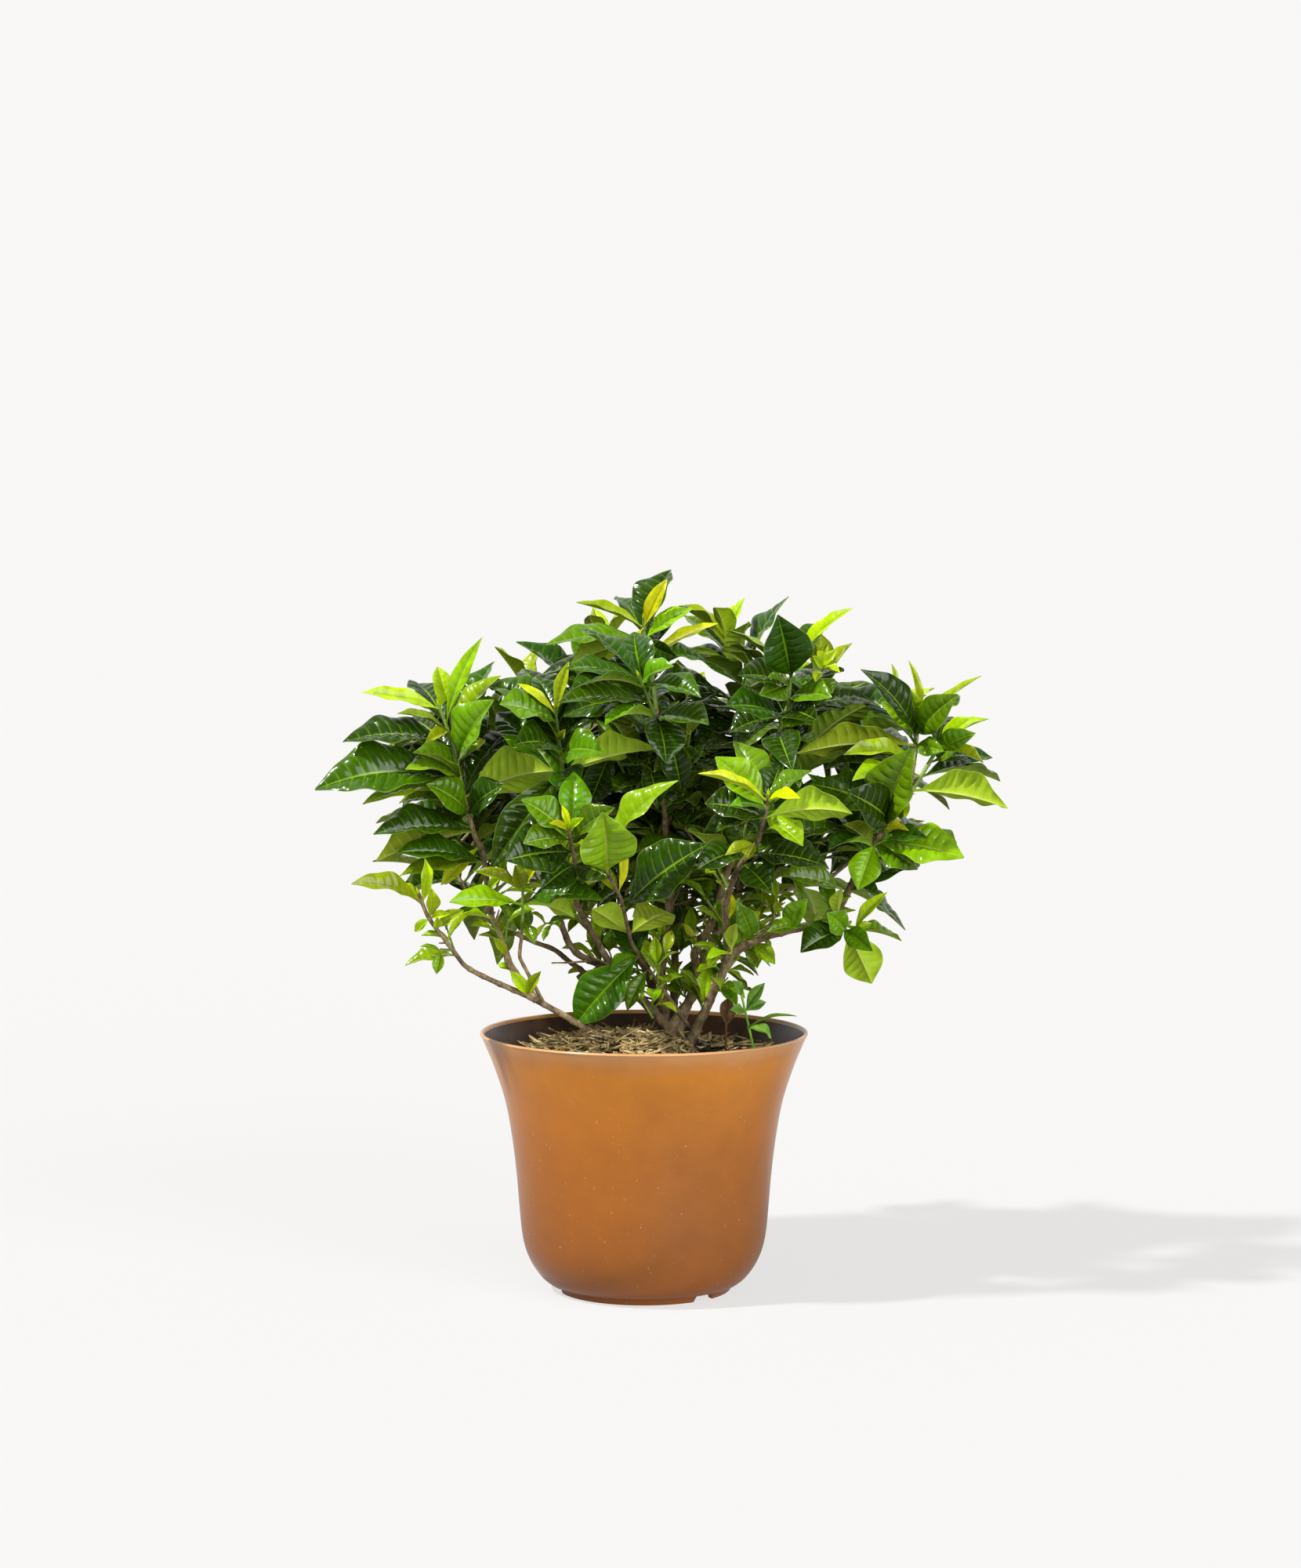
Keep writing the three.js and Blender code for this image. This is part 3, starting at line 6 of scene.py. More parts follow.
import bpy
import numpy as np
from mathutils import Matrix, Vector, kdtree, noise


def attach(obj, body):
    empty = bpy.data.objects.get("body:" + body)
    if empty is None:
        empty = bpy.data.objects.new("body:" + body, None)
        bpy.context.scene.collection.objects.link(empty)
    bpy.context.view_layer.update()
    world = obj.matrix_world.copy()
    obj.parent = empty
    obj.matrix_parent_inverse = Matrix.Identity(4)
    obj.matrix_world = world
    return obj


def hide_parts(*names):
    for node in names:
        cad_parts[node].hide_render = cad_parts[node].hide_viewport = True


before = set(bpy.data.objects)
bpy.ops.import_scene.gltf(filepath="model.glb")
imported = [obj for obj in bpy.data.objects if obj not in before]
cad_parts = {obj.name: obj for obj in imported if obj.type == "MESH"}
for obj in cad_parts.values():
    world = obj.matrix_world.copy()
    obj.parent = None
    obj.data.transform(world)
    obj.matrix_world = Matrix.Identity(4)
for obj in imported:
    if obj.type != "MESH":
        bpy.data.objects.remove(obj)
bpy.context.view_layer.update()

# Millimetres throughout, and metres only where a mesh, a lamp or the camera is made.
MM = 0.001

# Where the camera of the photograph stood
EYE = Vector((5, -2800, 586))

# Stems and leaves, as the CAD source has them. A leaf starts in a cell, which is a short length of
# a stem on one of its sides, and whorls gather at every fifth cell.
TRUNK_FOOT = 150
SMALL_PLANT_FOOT = 170
STEM_SIDES = 5
STEM_GAP = 0.3
CELLS_START = 1
CELLS_SPARE = 1.6
CELL = 2.6
WHORL_CELLS = 5
WHORL_TURN = 1.18
WHORLS_START = 3
WHORLS_SPARE = 5
NEAR_YOUNG = 12
NEAR_BARK = 5
LEAF_THICK = 0.8
LONG_LEAF = 84
SHORT_LEAF = 34
PETIOLE = 0.06
RULE_SEED = 50000
WORD = 0xFFFFFFFF
# Points this near each other are one.
NEAR = 0.1

# Each shoot is read as the eye sees it: [across, up, depth], with across and up taken on the
# upright plane through the pot's middle and depth away from the eye. "from" is the stem that it
# grows from and the place on it, counted in points of its path. "green" is where bark gives way
# to leafy stem and "young" where the soft new growth starts. "fill" pairs of leaves grow away
# from the eye, and "rule" pairs all round.
# A leaf is [place on the stem, tip across, tip up, length, width, turn, age]. A length below
# zero comes towards the eye. Turn 0 shows the upper face to the eye, 90 turns it up to the
# sky and 180 shows the underside. Age 0 is an old dark leaf and 3 and 4 are new growth.
SHOOTS = [
  {
    "name": "low_left",
    "soft": True,
    "path": [[-52, 204, -40], [-52, 206, -40], [-69, 216, -46], [-92, 228, -54], [-111, 236, -60],
      [-126, 243, -64], [-138, 250, -67], [-152, 269, -72], [-162, 282, -76], [-167, 290, -78],
      [-173, 306, -82]],
    "thick": [2.9, 1.4],
    "green": 8.3,
    "leaves": [
      [9.24, -225, 313, -62, 24, 50, 3], [9.61, -195, 311, 30, 14, 60, 3],
      [9.87, -168, 333, -32, 12, 20, 3], [9.13, -163, 310, -20, 13, 30, 3],
      [8.23, -176, 276, -15, 9, 20, 3], [7.38, -159, 288, -18, 8, 20, 3],
      [7.92, -149, 290, -16, 8, 30, 3], [7.38, -138, 293, -28, 12, 30, 3],
      [7.17, -131, 293, 34, 9, 50, 3], [6.64, -184, 250, -40, 16, 50, 2],
      [2.99, -103, 246, -24, 11, 20, 3], [2.91, -79, 246, -24, 11, 20, 3],
    ],
  },
  {
    "name": "left",
    "from": ["low_left", 3.59],
    "path": [[-103, 250, -52], [-109, 269, -48], [-117, 287, -44], [-121, 318, -38], [-124, 342, -34],
      [-129, 347, -33], [-138, 380, -30], [-143, 405, -28], [-150, 432, -26], [-157, 451, -25]],
    "thick": [2.9, 1.3],
    "green": 4.4, "young": 9.41,
    "fill": 5,
    "leaves": [
      [9.93, -216, 460, -64, 17, 40, 3], [10.00, -123, 503, 62, 12, 40, 2],
      [10.00, -158, 480, 34, 18, 30, 3], [9.43, -174, 467, 66, 36, 50, 0],
      [8.67, -231, 422, -88, 36, 58, 0], [8.89, -189, 444, -50, 14, 70, 2],
      [8.33, -114, 484, 82, 34, 50, 0], [8.45, -109, 473, 72, 24, 60, 2],
      [8.83, -168, 421, -30, 12, 30, 3], [8.20, -114, 455, -66, 34, 45, 1],
      [8.14, -128, 432, -40, 24, 20, 1], [8.05, -121, 424, -30, 12, 20, 4],
      [7.55, -183, 401, -58, 28, 65, 2], [7.74, -177, 414, -52, 26, 60, 1],
      [7.27, -253, 385, -118, 44, 50, 0], [7.15, -216, 374, -86, 24, 78, 2],
      [6.97, -188, 375, -56, 20, 50, 2], [6.66, -167, 390, -46, 26, 40, 1],
      [6.38, -208, 351, -84, 34, 55, 0], [6.12, -206, 330, -84, 36, 125, 2],
      [4.66, -190, 337, -70, 30, 60, 0], [6.89, -69, 400, -78, 40, 150, 2],
      [7.14, -66, 415, 82, 30, 60, 1], [4.76, -188, 319, -68, 24, 60, 2],
      [5.54, -156, 312, -46, 14, 20, 4], [6.70, -106, 390, -46, 26, 40, 0],
      [1.57, -116, 272, -14, 8, 20, 3], [0.76, -112, 251, -12, 7, 20, 3],
      [3.62, -109, 319, -18, 9, 30, 3],
    ],
  },
  {
    "name": "left_small",
    "from": ["low_left", 3.33],
    "path": [[-96, 257, -68], [-94, 272, -72], [-93, 294, -76], [-93, 313, -80]],
    "thick": [1.6, 1.1],
    "green": 2.46, "young": 3.63,
    "leaves": [
      [3.31, -150, 299, -60, 22, 55, 2], [3.75, -131, 323, -42, 15, 50, 3],
      [3.84, -99, 328, -22, 14, 10, 3], [3.94, -78, 335, -30, 10, 30, 4],
      [3.06, -31, 300, -66, 30, 55, 0], [2.87, -53, 287, -44, 22, 120, 2],
      [2.46, -84, 266, -20, 10, 20, 1],
    ],
  },
  {
    "name": "left_back",
    "path": [[10, 204, 22], [5, 215, 22], [-12, 233, 24], [-29, 239, 26], [-45, 244, 28], [-57, 253, 30],
      [-69, 263, 32], [-81, 267, 34], [-97, 274, 38], [-120, 285, 44], [-129, 293, 48],
      [-142, 318, 55], [-151, 354, 66]],
    "thick": [2.6, 1.3],
    "green": 10.27,
    "fill": 7,
    "leaves": [
      [11.59, -175, 360, -60, 30, 50, 0], [10.76, -181, 309, -60, 28, 60, 0],
      [11.84, -127, 372, -60, 30, 40, 0],
    ],
  },
  {
    "name": "centre",
    "path": [[9, 204, 0], [10, 212, 2], [-19, 244, 0], [-27, 253, -2], [-33, 263, -4], [-43, 281, -14],
      [-52, 298, -40], [-52, 324, -80], [-58, 357, -110]],
    "thick": [4, 1.3],
    "green": 6.55, "young": 7.84,
    "fill": 2,
    "leaves": [
      [7.91, -54, 400, 50, 22, 30, 1], [7.94, -94, 378, -46, 24, 45, 1],
      [7.76, -93, 344, -40, 24, 50, 1], [7.91, -46, 364, -18, 9, 30, 3], [7.98, -63, 374, -20, 7, 20, 4],
      [7.91, -73, 360, -18, 8, 40, 4], [7.45, -107, 331, -60, 40, 40, 0],
      [7.69, -22, 372, -46, 22, 45, 1], [7.09, -79, 309, -42, 26, 20, 0],
      [7.04, -25, 318, -46, 24, 30, 0],
    ],
  },
  {
    "name": "crown_lime",
    "from": ["centre", 3],
    "path": [[-50, 258, -6], [-58, 267, -10], [-64, 284, -16], [-66, 318, -24], [-63, 354, -34],
      [-62, 399, -46], [-68, 449, -60]],
    "thick": [2.8, 1.2],
    "green": 5.13, "young": 6.84,
    "fill": 5,
    "leaves": [
      [6.72, -111, 451, -68, 36, 40, 1], [7.00, -57, 484, 38, 12, 30, 3],
      [6.66, -121, 464, 70, 30, 60, 0], [6.57, -131, 467, 84, 28, 75, 2],
      [6.30, -100, 420, -62, 30, 65, 0], [6.84, -97, 467, 40, 9, 30, 4], [6.69, -83, 472, 55, 26, 40, 0],
      [6.42, -28, 447, 60, 30, 50, 0], [6.18, -31, 414, -50, 28, 40, 1],
      [6.12, -52, 383, -45, 26, 10, 0], [6.42, -60, 432, -14, 8, 0, 3],
      [5.96, -118, 324, -98, 30, 10, 0], [6.00, 11, 417, -78, 34, 130, 2],
    ],
  },
  {
    "name": "top",
    "path": [[18, 204, 12], [16, 215, 12], [13, 244, 12], [16, 272, 12], [20, 299, 10], [21, 336, 4],
      [17, 378, -4], [12, 426, -4], [6, 476, 2], [0, 504, 4], [0, 517, 4]],
    "thick": [4.2, 1.4],
    "green": 7.42, "young": 9.25,
    "fill": 4,
    "leaves": [
      [9.23, 21, 554, 60, 34, 35, 0], [9.52, -52, 529, -52, 16, 65, 3], [8.95, -76, 496, -78, 26, 62, 1],
      [8.82, 38, 524, 42, 16, 40, 2], [8.73, 26, 487, -30, 18, -30, 0], [8.60, 49, 483, -50, 26, 50, 0],
      [8.23, 57, 513, 62, 15, 50, 4], [9.68, 18, 547, -42, 14, 20, 4], [8.90, -1, 476, -28, 10, -20, 4],
      [8.90, -19, 480, -32, 11, 20, 4], [8.82, -56, 482, -66, 26, 140, 2],
      [8.95, 12, 511, -20, 12, 30, 1], [8.08, 60, 487, 58, 14, 70, 2],
    ],
  },
  {
    "name": "crown_left",
    "from": ["top", 4.67],
    "path": [[16, 366, -30], [11, 414, -50], [10, 438, -58], [-4, 473, -66]],
    "thick": [2.6, 1.3],
    "green": 2.5,
    "fill": 4,
    "leaves": [
      [3.99, -60, 478, -62, 24, 70, 0], [3.79, -56, 462, -66, 30, 62, 0],
      [3.52, -66, 452, -78, 30, 60, 0], [3.33, -63, 441, -78, 32, 60, 0],
      [3.24, -30, 435, -60, 26, 75, 1], [3.75, 44, 456, -60, 26, 60, 0], [3.24, 50, 435, -62, 30, 55, 0],
      [3.92, 23, 480, -40, 20, 50, 1], [3.09, 17, 405, -60, 30, 20, 0],
    ],
  },
  {
    "name": "low_centre",
    "path": [[7, 204, -26], [5, 245, -28], [-2, 255, -32], [-10, 268, -40], [-15, 291, -75],
      [-18, 303, -100], [-31, 327, -125]],
    "thick": [2, 1.2],
    "green": 1.11,
    "fill": 2,
    "leaves": [
      [5.88, -32, 369, -52, 40, 15, 2], [5.98, 27, 393, -92, 26, 50, 2], [5.12, -16, 346, -42, 9, 40, 4],
      [5.05, -38, 327, -34, 13, 20, 3], [4.09, 49, 344, -86, 40, 35, 0],
      [3.21, 19, 291, -50, 28, 150, 2], [3.34, -40, 294, -38, 22, 150, 2],
      [2.05, -54, 203, -72, 34, 15, 0], [1.08, -13, 215, -34, 14, 20, 1],
      [1.96, -26, 246, -28, 14, 50, 1],
    ],
  },
  {
    "name": "crown_right",
    "path": [[33, 204, 8], [31, 217, 6], [45, 236, 4], [38, 259, 2], [43, 267, 0], [51, 281, -4],
      [62, 318, -16], [80, 366, -26], [98, 414, -32], [110, 450, -36], [114, 487, -38]],
    "thick": [4.2, 1.3],
    "green": 8.34, "young": 9.71,
    "fill": 6,
    "leaves": [
      [9.84, 102, 520, 46, 36, 20, 0], [9.95, 160, 525, 62, 15, 50, 3], [9.94, 115, 506, -23, 7, 20, 4],
      [9.84, 104, 484, -13, 6, 20, 4], [9.81, 126, 483, -15, 7, 30, 4], [9.56, 94, 462, -24, 14, 30, 4],
      [9.61, 62, 508, -64, 14, 70, 2], [9.55, 88, 458, -38, 22, 10, 1], [9.78, 141, 513, 46, 20, 50, 0],
      [9.08, 144, 456, -46, 24, 55, 1], [8.91, 130, 435, -36, 24, 40, 1],
      [8.84, 175, 453, -70, 28, 60, 0], [8.68, 138, 437, -48, 28, 50, 0],
      [8.91, 62, 450, -58, 30, 55, 0], [8.68, 65, 429, -58, 30, 45, 0], [8.43, 114, 399, -46, 26, 15, 0],
      [9.32, 71, 473, -58, 26, 60, 0], [4.87, 54, 299, -22, 8, 20, 3], [4.00, 30, 283, -20, 8, 30, 4],
      [2.89, 46, 244, -16, 8, 10, 3],
    ],
  },
  {
    "name": "rosette",
    "soft": True,
    "from": ["crown_right", 8.75],
    "path": [[125, 459, -46], [138, 481, -52]],
    "thick": [1.5, 1.1],
    "green": 0.6,
    "leaves": [
      [1.96, 129, 488, -17, 9, 30, 3], [1.96, 147, 493, -17, 9, 30, 3], [1.91, 150, 475, -17, 9, 50, 3],
      [1.86, 131, 468, -17, 9, 20, 3], [1.98, 140, 498, 20, 10, 30, 3], [1.42, 144, 459, -26, 14, 40, 1],
      [1.21, 116, 473, -26, 14, 40, 1],
    ],
  },
  {
    "name": "centre_right",
    "path": [[36, 204, -22], [39, 199, -22], [47, 215, -22], [56, 236, -26], [62, 249, -28],
      [65, 263, -32], [63, 276, -40], [62, 298, -56], [71, 324, -84], [88, 347, -112], [94, 370, -126],
      [95, 382, -130]],
    "thick": [4.5, 1.3],
    "green": 8.16, "young": 10.4,
    "fill": 3,
    "leaves": [
      [10.80, 54, 411, -54, 26, 35, 2], [10.90, 110, 423, -48, 30, 25, 0],
      [10.80, 129, 400, -42, 20, 45, 1], [10.60, 120, 379, -27, 14, 50, 4],
      [10.10, 65, 373, -31, 14, 55, 1], [9.71, 46, 375, -56, 32, 50, 0], [9.57, 55, 353, -44, 26, 50, 0],
      [9.72, 122, 342, -42, 22, 40, 2], [9.00, 62, 335, -30, 12, 30, 3], [8.92, 77, 331, -20, 11, 20, 3],
      [10.50, 68, 423, 62, 28, 60, 1], [10.45, 41, 398, -60, 14, 60, 4],
      [8.67, 140, 327, -62, 32, 55, 0], [8.62, 41, 324, -52, 26, 50, 0], [8.38, 98, 306, -42, 24, 20, 0],
      [9.84, 160, 367, -72, 30, 140, 2], [6.28, 66, 307, -28, 10, 20, 4],
    ],
  },
  {
    "name": "right",
    "from": ["centre_right", 4.31],
    "path": [[67, 260, -31], [82, 268, -34], [96, 274, -38], [126, 281, -46], [143, 284, -52],
      [153, 300, -56], [164, 323, -60], [177, 345, -62], [197, 372, -56], [214, 399, -46],
      [228, 423, -38]],
    "thick": [3.9, 1.3],
    "green": 6.25, "young": 10.75,
    "fill": 6,
    "leaves": [
      [10.89, 251, 441, -34, 16, 40, 3], [10.95, 264, 440, 46, 12, 50, 3],
      [10.83, 254, 429, -32, 18, 30, 1], [10.76, 240, 416, -20, 13, 0, 1],
      [10.64, 260, 406, -42, 14, 40, 3], [10.48, 267, 410, 52, 20, 55, 0],
      [9.92, 159, 392, -62, 24, 75, 2], [8.39, 206, 418, -68, 38, 35, 1],
      [9.45, 279, 371, -82, 36, 125, 2], [9.18, 173, 390, -60, 30, 20, 0],
      [8.56, 155, 384, -66, 32, 25, 0], [8.88, 126, 390, -80, 32, 55, 0],
      [7.94, 153, 359, -38, 22, 130, 2], [7.81, 141, 339, -48, 24, 60, 0],
      [8.06, 218, 348, -50, 20, 65, 0], [8.14, 203, 354, -28, 10, 50, 4],
      [8.11, 197, 362, -26, 10, 40, 4], [8.02, 246, 333, -78, 36, 50, 2],
      [7.79, 210, 324, -46, 32, 30, 1], [7.64, 164, 308, -40, 22, 10, 2],
      [6.19, 102, 319, -58, 24, 45, 1], [6.40, 181, 304, -36, 16, 60, 0],
      [3.33, 126, 302, -36, 16, 20, 1], [2.07, 71, 300, -38, 14, 20, 1], [3.98, 94, 276, -36, 14, 50, 1],
      [1.98, 101, 251, -28, 12, 20, 2],
    ],
  },
  {
    "name": "right_top",
    "from": ["right", 9.34],
    "path": [[208, 414, -36], [210, 439, -30]],
    "thick": [1.6, 1.2],
    "green": 0.73, "young": 1.7,
    "fill": 3,
    "leaves": [
      [1.12, 165, 478, -80, 26, 50, 0], [1.60, 181, 453, -44, 18, 40, 2],
      [1.91, 203, 463, -29, 17, 10, 2], [1.86, 241, 459, 42, 24, 35, 1], [2.00, 202, 485, 50, 10, 40, 3],
      [1.98, 258, 473, 62, 10, 50, 3], [1.36, 230, 415, -27, 14, 10, 1],
      [1.45, 116, 413, -97, 34, 125, 2], [0.91, 152, 412, -60, 22, 50, 3],
      [0.73, 138, 401, -74, 30, 60, 0],
    ],
  },
  {
    "name": "right_low",
    "from": ["right", 4.83],
    "path": [[152, 278, -66], [164, 275, -74]],
    "thick": [1.8, 1.2],
    "green": 0.4, "young": 1.6,
    "leaves": [
      [0.91, 120, 260, -44, 26, 40, 0], [1.16, 175, 236, -52, 28, 160, 2],
      [1.89, 198, 269, -44, 18, 55, 1], [1.26, 140, 291, -30, 18, 20, 1],
      [2.00, 187, 307, -42, 12, 40, 3], [2.00, 175, 283, -15, 8, 30, 3],
      [1.69, 176, 261, -32, 16, 20, 1],
    ],
  },
  {
    "name": "back_left",
    "path": [[15, 204, 40], [15, 210, 40], [0, 252, 48], [-28, 306, 64], [-56, 366, 82], [-76, 414, 94],
      [-86, 456, 98]],
    "thick": [4.2, 1.3],
    "green": 3.5,
    "rule": 6,
  },
  {
    "name": "back_left_side",
    "from": ["back_left", 3.4],
    "path": [[-79, 366, 96], [-109, 396, 106], [-133, 438, 108]],
    "thick": [2.4, 1.3],
    "green": 1.4,
    "rule": 5,
  },
  {
    "name": "back_left_high",
    "from": ["back_left", 4.15],
    "path": [[-50, 402, 92], [-38, 444, 94], [-34, 488, 92]],
    "thick": [2.4, 1.3],
    "green": 1.2,
    "rule": 5,
  },
  {
    "name": "back_left_low",
    "from": ["back_left", 2.89],
    "path": [[-61, 312, 96], [-103, 318, 120], [-139, 339, 128]],
    "thick": [2.2, 1.3],
    "green": 1.4,
    "rule": 4,
  },
  {
    "name": "back_right",
    "path": [[30, 204, 34], [30, 210, 34], [47, 258, 46], [77, 318, 64], [107, 378, 82], [125, 426, 92],
      [136, 464, 94]],
    "thick": [4.2, 1.3],
    "green": 3.4,
    "rule": 6,
  },
  {
    "name": "back_right_side",
    "from": ["back_right", 3.25],
    "path": [[125, 366, 94], [161, 399, 104], [187, 440, 106]],
    "thick": [2.4, 1.3],
    "green": 1.4,
    "rule": 5,
  },
  {
    "name": "back_right_high",
    "from": ["back_right", 4.15],
    "path": [[98, 420, 92], [78, 458, 90], [64, 496, 86]],
    "thick": [2.4, 1.3],
    "green": 1.2,
    "rule": 5,
  },
  {
    "name": "back_right_low",
    "from": ["back_right", 2.6],
    "path": [[101, 306, 90], [143, 318, 112], [179, 348, 120]],
    "thick": [2.2, 1.3],
    "green": 1.4,
    "rule": 4,
  },
  {
    "name": "back_middle",
    "path": [[23, 204, 52], [23, 216, 54], [24, 276, 76], [27, 330, 112], [29, 390, 146], [28, 440, 160]],
    "thick": [3.8, 1.3],
    "green": 2.6,
    "rule": 6,
  },
  {
    "name": "back_middle_left",
    "from": ["back_middle", 2.67],
    "path": [[8, 324, 140], [-13, 348, 170], [-24, 384, 186]],
    "thick": [2.2, 1.3],
    "green": 1.3,
    "rule": 4,
  },
  {
    "name": "back_middle_right",
    "from": ["back_middle", 2.89],
    "path": [[50, 330, 146], [74, 354, 172], [86, 390, 186]],
    "thick": [2.2, 1.3],
    "green": 1.3,
    "rule": 4,
  },
]

# Small growth beside the bush: [foot across, foot up, foot depth], its path and its leaves
WEED = {
  "path": [[80, 200, -66], [78, 214, -68], [74, 232, -72]],
  "thick": [1.1, 0.8],
  "leaves": [
    [1.5, 68, 239, -18, 8, 30, 2], [1.3, 93, 237, 22, 9, 30, 2], [1.0, 94, 222, -18, 8, 20, 2],
    [0.8, 66, 216, -18, 8, 20, 2], [0.4, 98, 193, 22, 12, 60, 2], [0.3, 118, 211, -44, 4, 60, 2],
  ],
}
DEAD_LEAF = {
  "path": [[63, 200, -50], [63, 206, -50]],
  "thick": [1, 0.9],
  "leaves": [[0.7, 64, 225, 27, 12, 15, 0]],
}

# What a leaf tries until it has room: [depth of its tip, turn], then a part of its length
MOVES = [
    [0, 0], [9, 0], [-9, 0], [0, 14], [0, -14], [16, 8], [-16, 8], [16, -8], [-16, -8], [26, 0],
    [-26, 0], [34, 14], [-34, 14], [44, -14], [-44, -14],
]
READ_CHANGES = [[*move, part] for part in (1, 0.86, 0.72, 0.6) for move in MOVES]
UNCHANGED = READ_CHANGES[0]
RULE_CHANGES = [[*move, part] for part in (1, 0.84, 0.68) for move in MOVES]


def chance(seed):
    """A repeatable stream of numbers from 0 to 1, the same as the CAD source draws."""
    state = (seed * 7919 + 12345) & WORD

    def draw():
        nonlocal state
        state = (state + 0x6D2B79F5) & WORD
        t = ((state ^ (state >> 15)) * (state | 1)) & WORD
        t = (t ^ (t + ((t ^ (t >> 7)) * (t | 61)))) & WORD
        return ((t ^ (t >> 14)) & WORD) / (WORD + 1)

    return draw


def seen(place):
    """The real place of a point that the eye sees at (across, up) on the pot's middle plane."""
    across, up, depth = place
    k = (depth - EYE.y) / -EYE.y
    return Vector((EYE.x + (across - EYE.x) * k, depth, EYE.z + (up - EYE.z) * k))


# Stems


def line_of(points):
    """A stem's path, with the length that each of its points is reached at."""
    reach = [0.0]
    for low, high in zip(points, points[1:]):
        reach.append(reach[-1] + (high - low).length)
    return SimpleNamespace(points=points, reach=reach, length=reach[-1])


def length_at(line, place):
    """The length along a line at a place counted in its points."""
    i = min(math.floor(place), len(line.points) - 2)
    return line.reach[i] + (line.reach[i + 1] - line.reach[i]) * (place - i)


def span_at(line, length):
    """Which span between two points a length falls in."""
    i = 0
    while i < len(line.points) - 2 and line.reach[i + 1] < length:
        i += 1
    return i


def point_at(line, length):
    """The point of a line at a length."""
    i = span_at(line, length)
    k = (length - line.reach[i]) / (line.reach[i + 1] - line.reach[i])
    return line.points[i].lerp(line.points[i + 1], k)


def heading_at(line, length):
    """The way a line heads at a length."""
    i = span_at(line, length)
    return (line.points[i + 1] - line.points[i]).normalized()


def level_axis(line):
    """The level axis that a line keeps furthest from, where its rings' angles start."""
    headings = [(b - a).normalized() for a, b in zip(line.points, line.points[1:])]
    axes = [Vector((1, 0, 0)), Vector((0, 1, 0))]
    return min(axes, key=lambda axis: max(abs(way.dot(axis)) for way in headings))


def ring_frame(axis, heading):
    """Two directions square to a heading and to each other, the first nearest the axis."""
    side = (axis - heading * axis.dot(heading)).normalized()
    return side, heading.cross(side)


# Leaves


def half_width(s):
    """Half the blade's width: a short petiole, then an oval drawn to a point."""
    u = np.clip((s - PETIOLE) / (1 - PETIOLE), 0, 1)
    oval = np.sin(np.pi * u**1.1).clip(0) ** 0.9
    blade = np.maximum(0.05 * (1 - u), oval * (1 - 0.35 * u**6))
    return np.where(s <= PETIOLE, 0.05, blade)


def blade_grid(leaf, along, across):
    """The blade's middle face, and the way it looks, on a grid of places along and across it."""
    s, v = np.asarray(along, float), np.asarray(across, float)
    if s.ndim == 1:
        s, v = s[:, None], v[None, :]
    s, v = s[:, :, None], v[:, :, None]
    root, ahead, up, side = (np.array(way) for way in (leaf.root, leaf.ahead, leaf.up, leaf.across))
    centre = root + ahead * leaf.length * s + up * leaf.length * leaf.arch * 4 * s * (1 - s)
    top = up - ahead * leaf.arch * 4 * (1 - 2 * s)
    top = top / np.linalg.norm(top, axis=2, keepdims=True)
    turn = leaf.twist * (s - 0.3)
    side, face = side * np.cos(turn) + top * np.sin(turn), top * np.cos(turn) - side * np.sin(turn)
    half = (leaf.wide / 2) * half_width(s)
    wave = leaf.wave * np.sin(9 * s + leaf.phase + np.where(v > 0, 2, 0)) * v * v
    lift = np.abs(v) * math.sin(leaf.fold) + wave
    point = centre + side * v * math.cos(leaf.fold) * half + face * lift * half
    return point, np.broadcast_to(face, point.shape), half * np.ones_like(v)


def blade_stops(leaf):
    """Where the solid's blade has its rows of points."""
    if leaf.length > LONG_LEAF and leaf.seed < RULE_SEED:
        return [0.28, 0.54, 0.8]
    return [0.34, 0.7] if leaf.length > SHORT_LEAF else [0.52]


def leaf_of(root, tip, look, wide, age, seed):
    """A leaf's frame from its root, tip and the way its upper face looks."""
    draw = chance(seed)
    along = tip - root
    ahead = along.normalized()
    up = (look - ahead * look.dot(ahead)).normalized()
    soft = age > 2
    return SimpleNamespace(
        root=root, ahead=ahead, up=up, across=ahead.cross(up), length=along.length, wide=wide,
        age=age, seed=seed,
        arch=(0.03 if soft else 0.05) + 0.07 * draw(),
        fold=math.radians((26 if soft else 12) + 16 * draw()),
        twist=math.radians(-24 + 48 * draw()),
        wave=0.1 * draw(),
        phase=6 * draw(),
        pale=1,
    )


def read_leaf(root, row, seed, change):
    """A leaf from its listed row. change is [depth of the tip, turn, part of the length]."""
    _, across, up, reach, wide, turn, age = row
    flat = (seen([across, up, root.y]) - root).length
    deep = math.copysign(math.sqrt(max(0, reach * reach - flat * flat)), reach) + change[0]
    end = root + (seen([across, up, root.y + deep]) - root) * change[2]
    ahead = (end - root).normalized()
    to_eye = (EYE - root).normalized()
    shows = (to_eye - ahead * to_eye.dot(ahead)).normalized()
    rise = ahead.cross(shows)
    turned_down = rise.x < 0 if abs(rise.z) < 0.15 else rise.z < 0
    if turned_down:
        rise = -rise
    angle = math.radians(turn + change[1])
    look = shows * math.cos(angle) + rise * math.sin(angle)
    return leaf_of(root, end, look, wide * (0.5 + 0.5 * change[2]), age, seed)


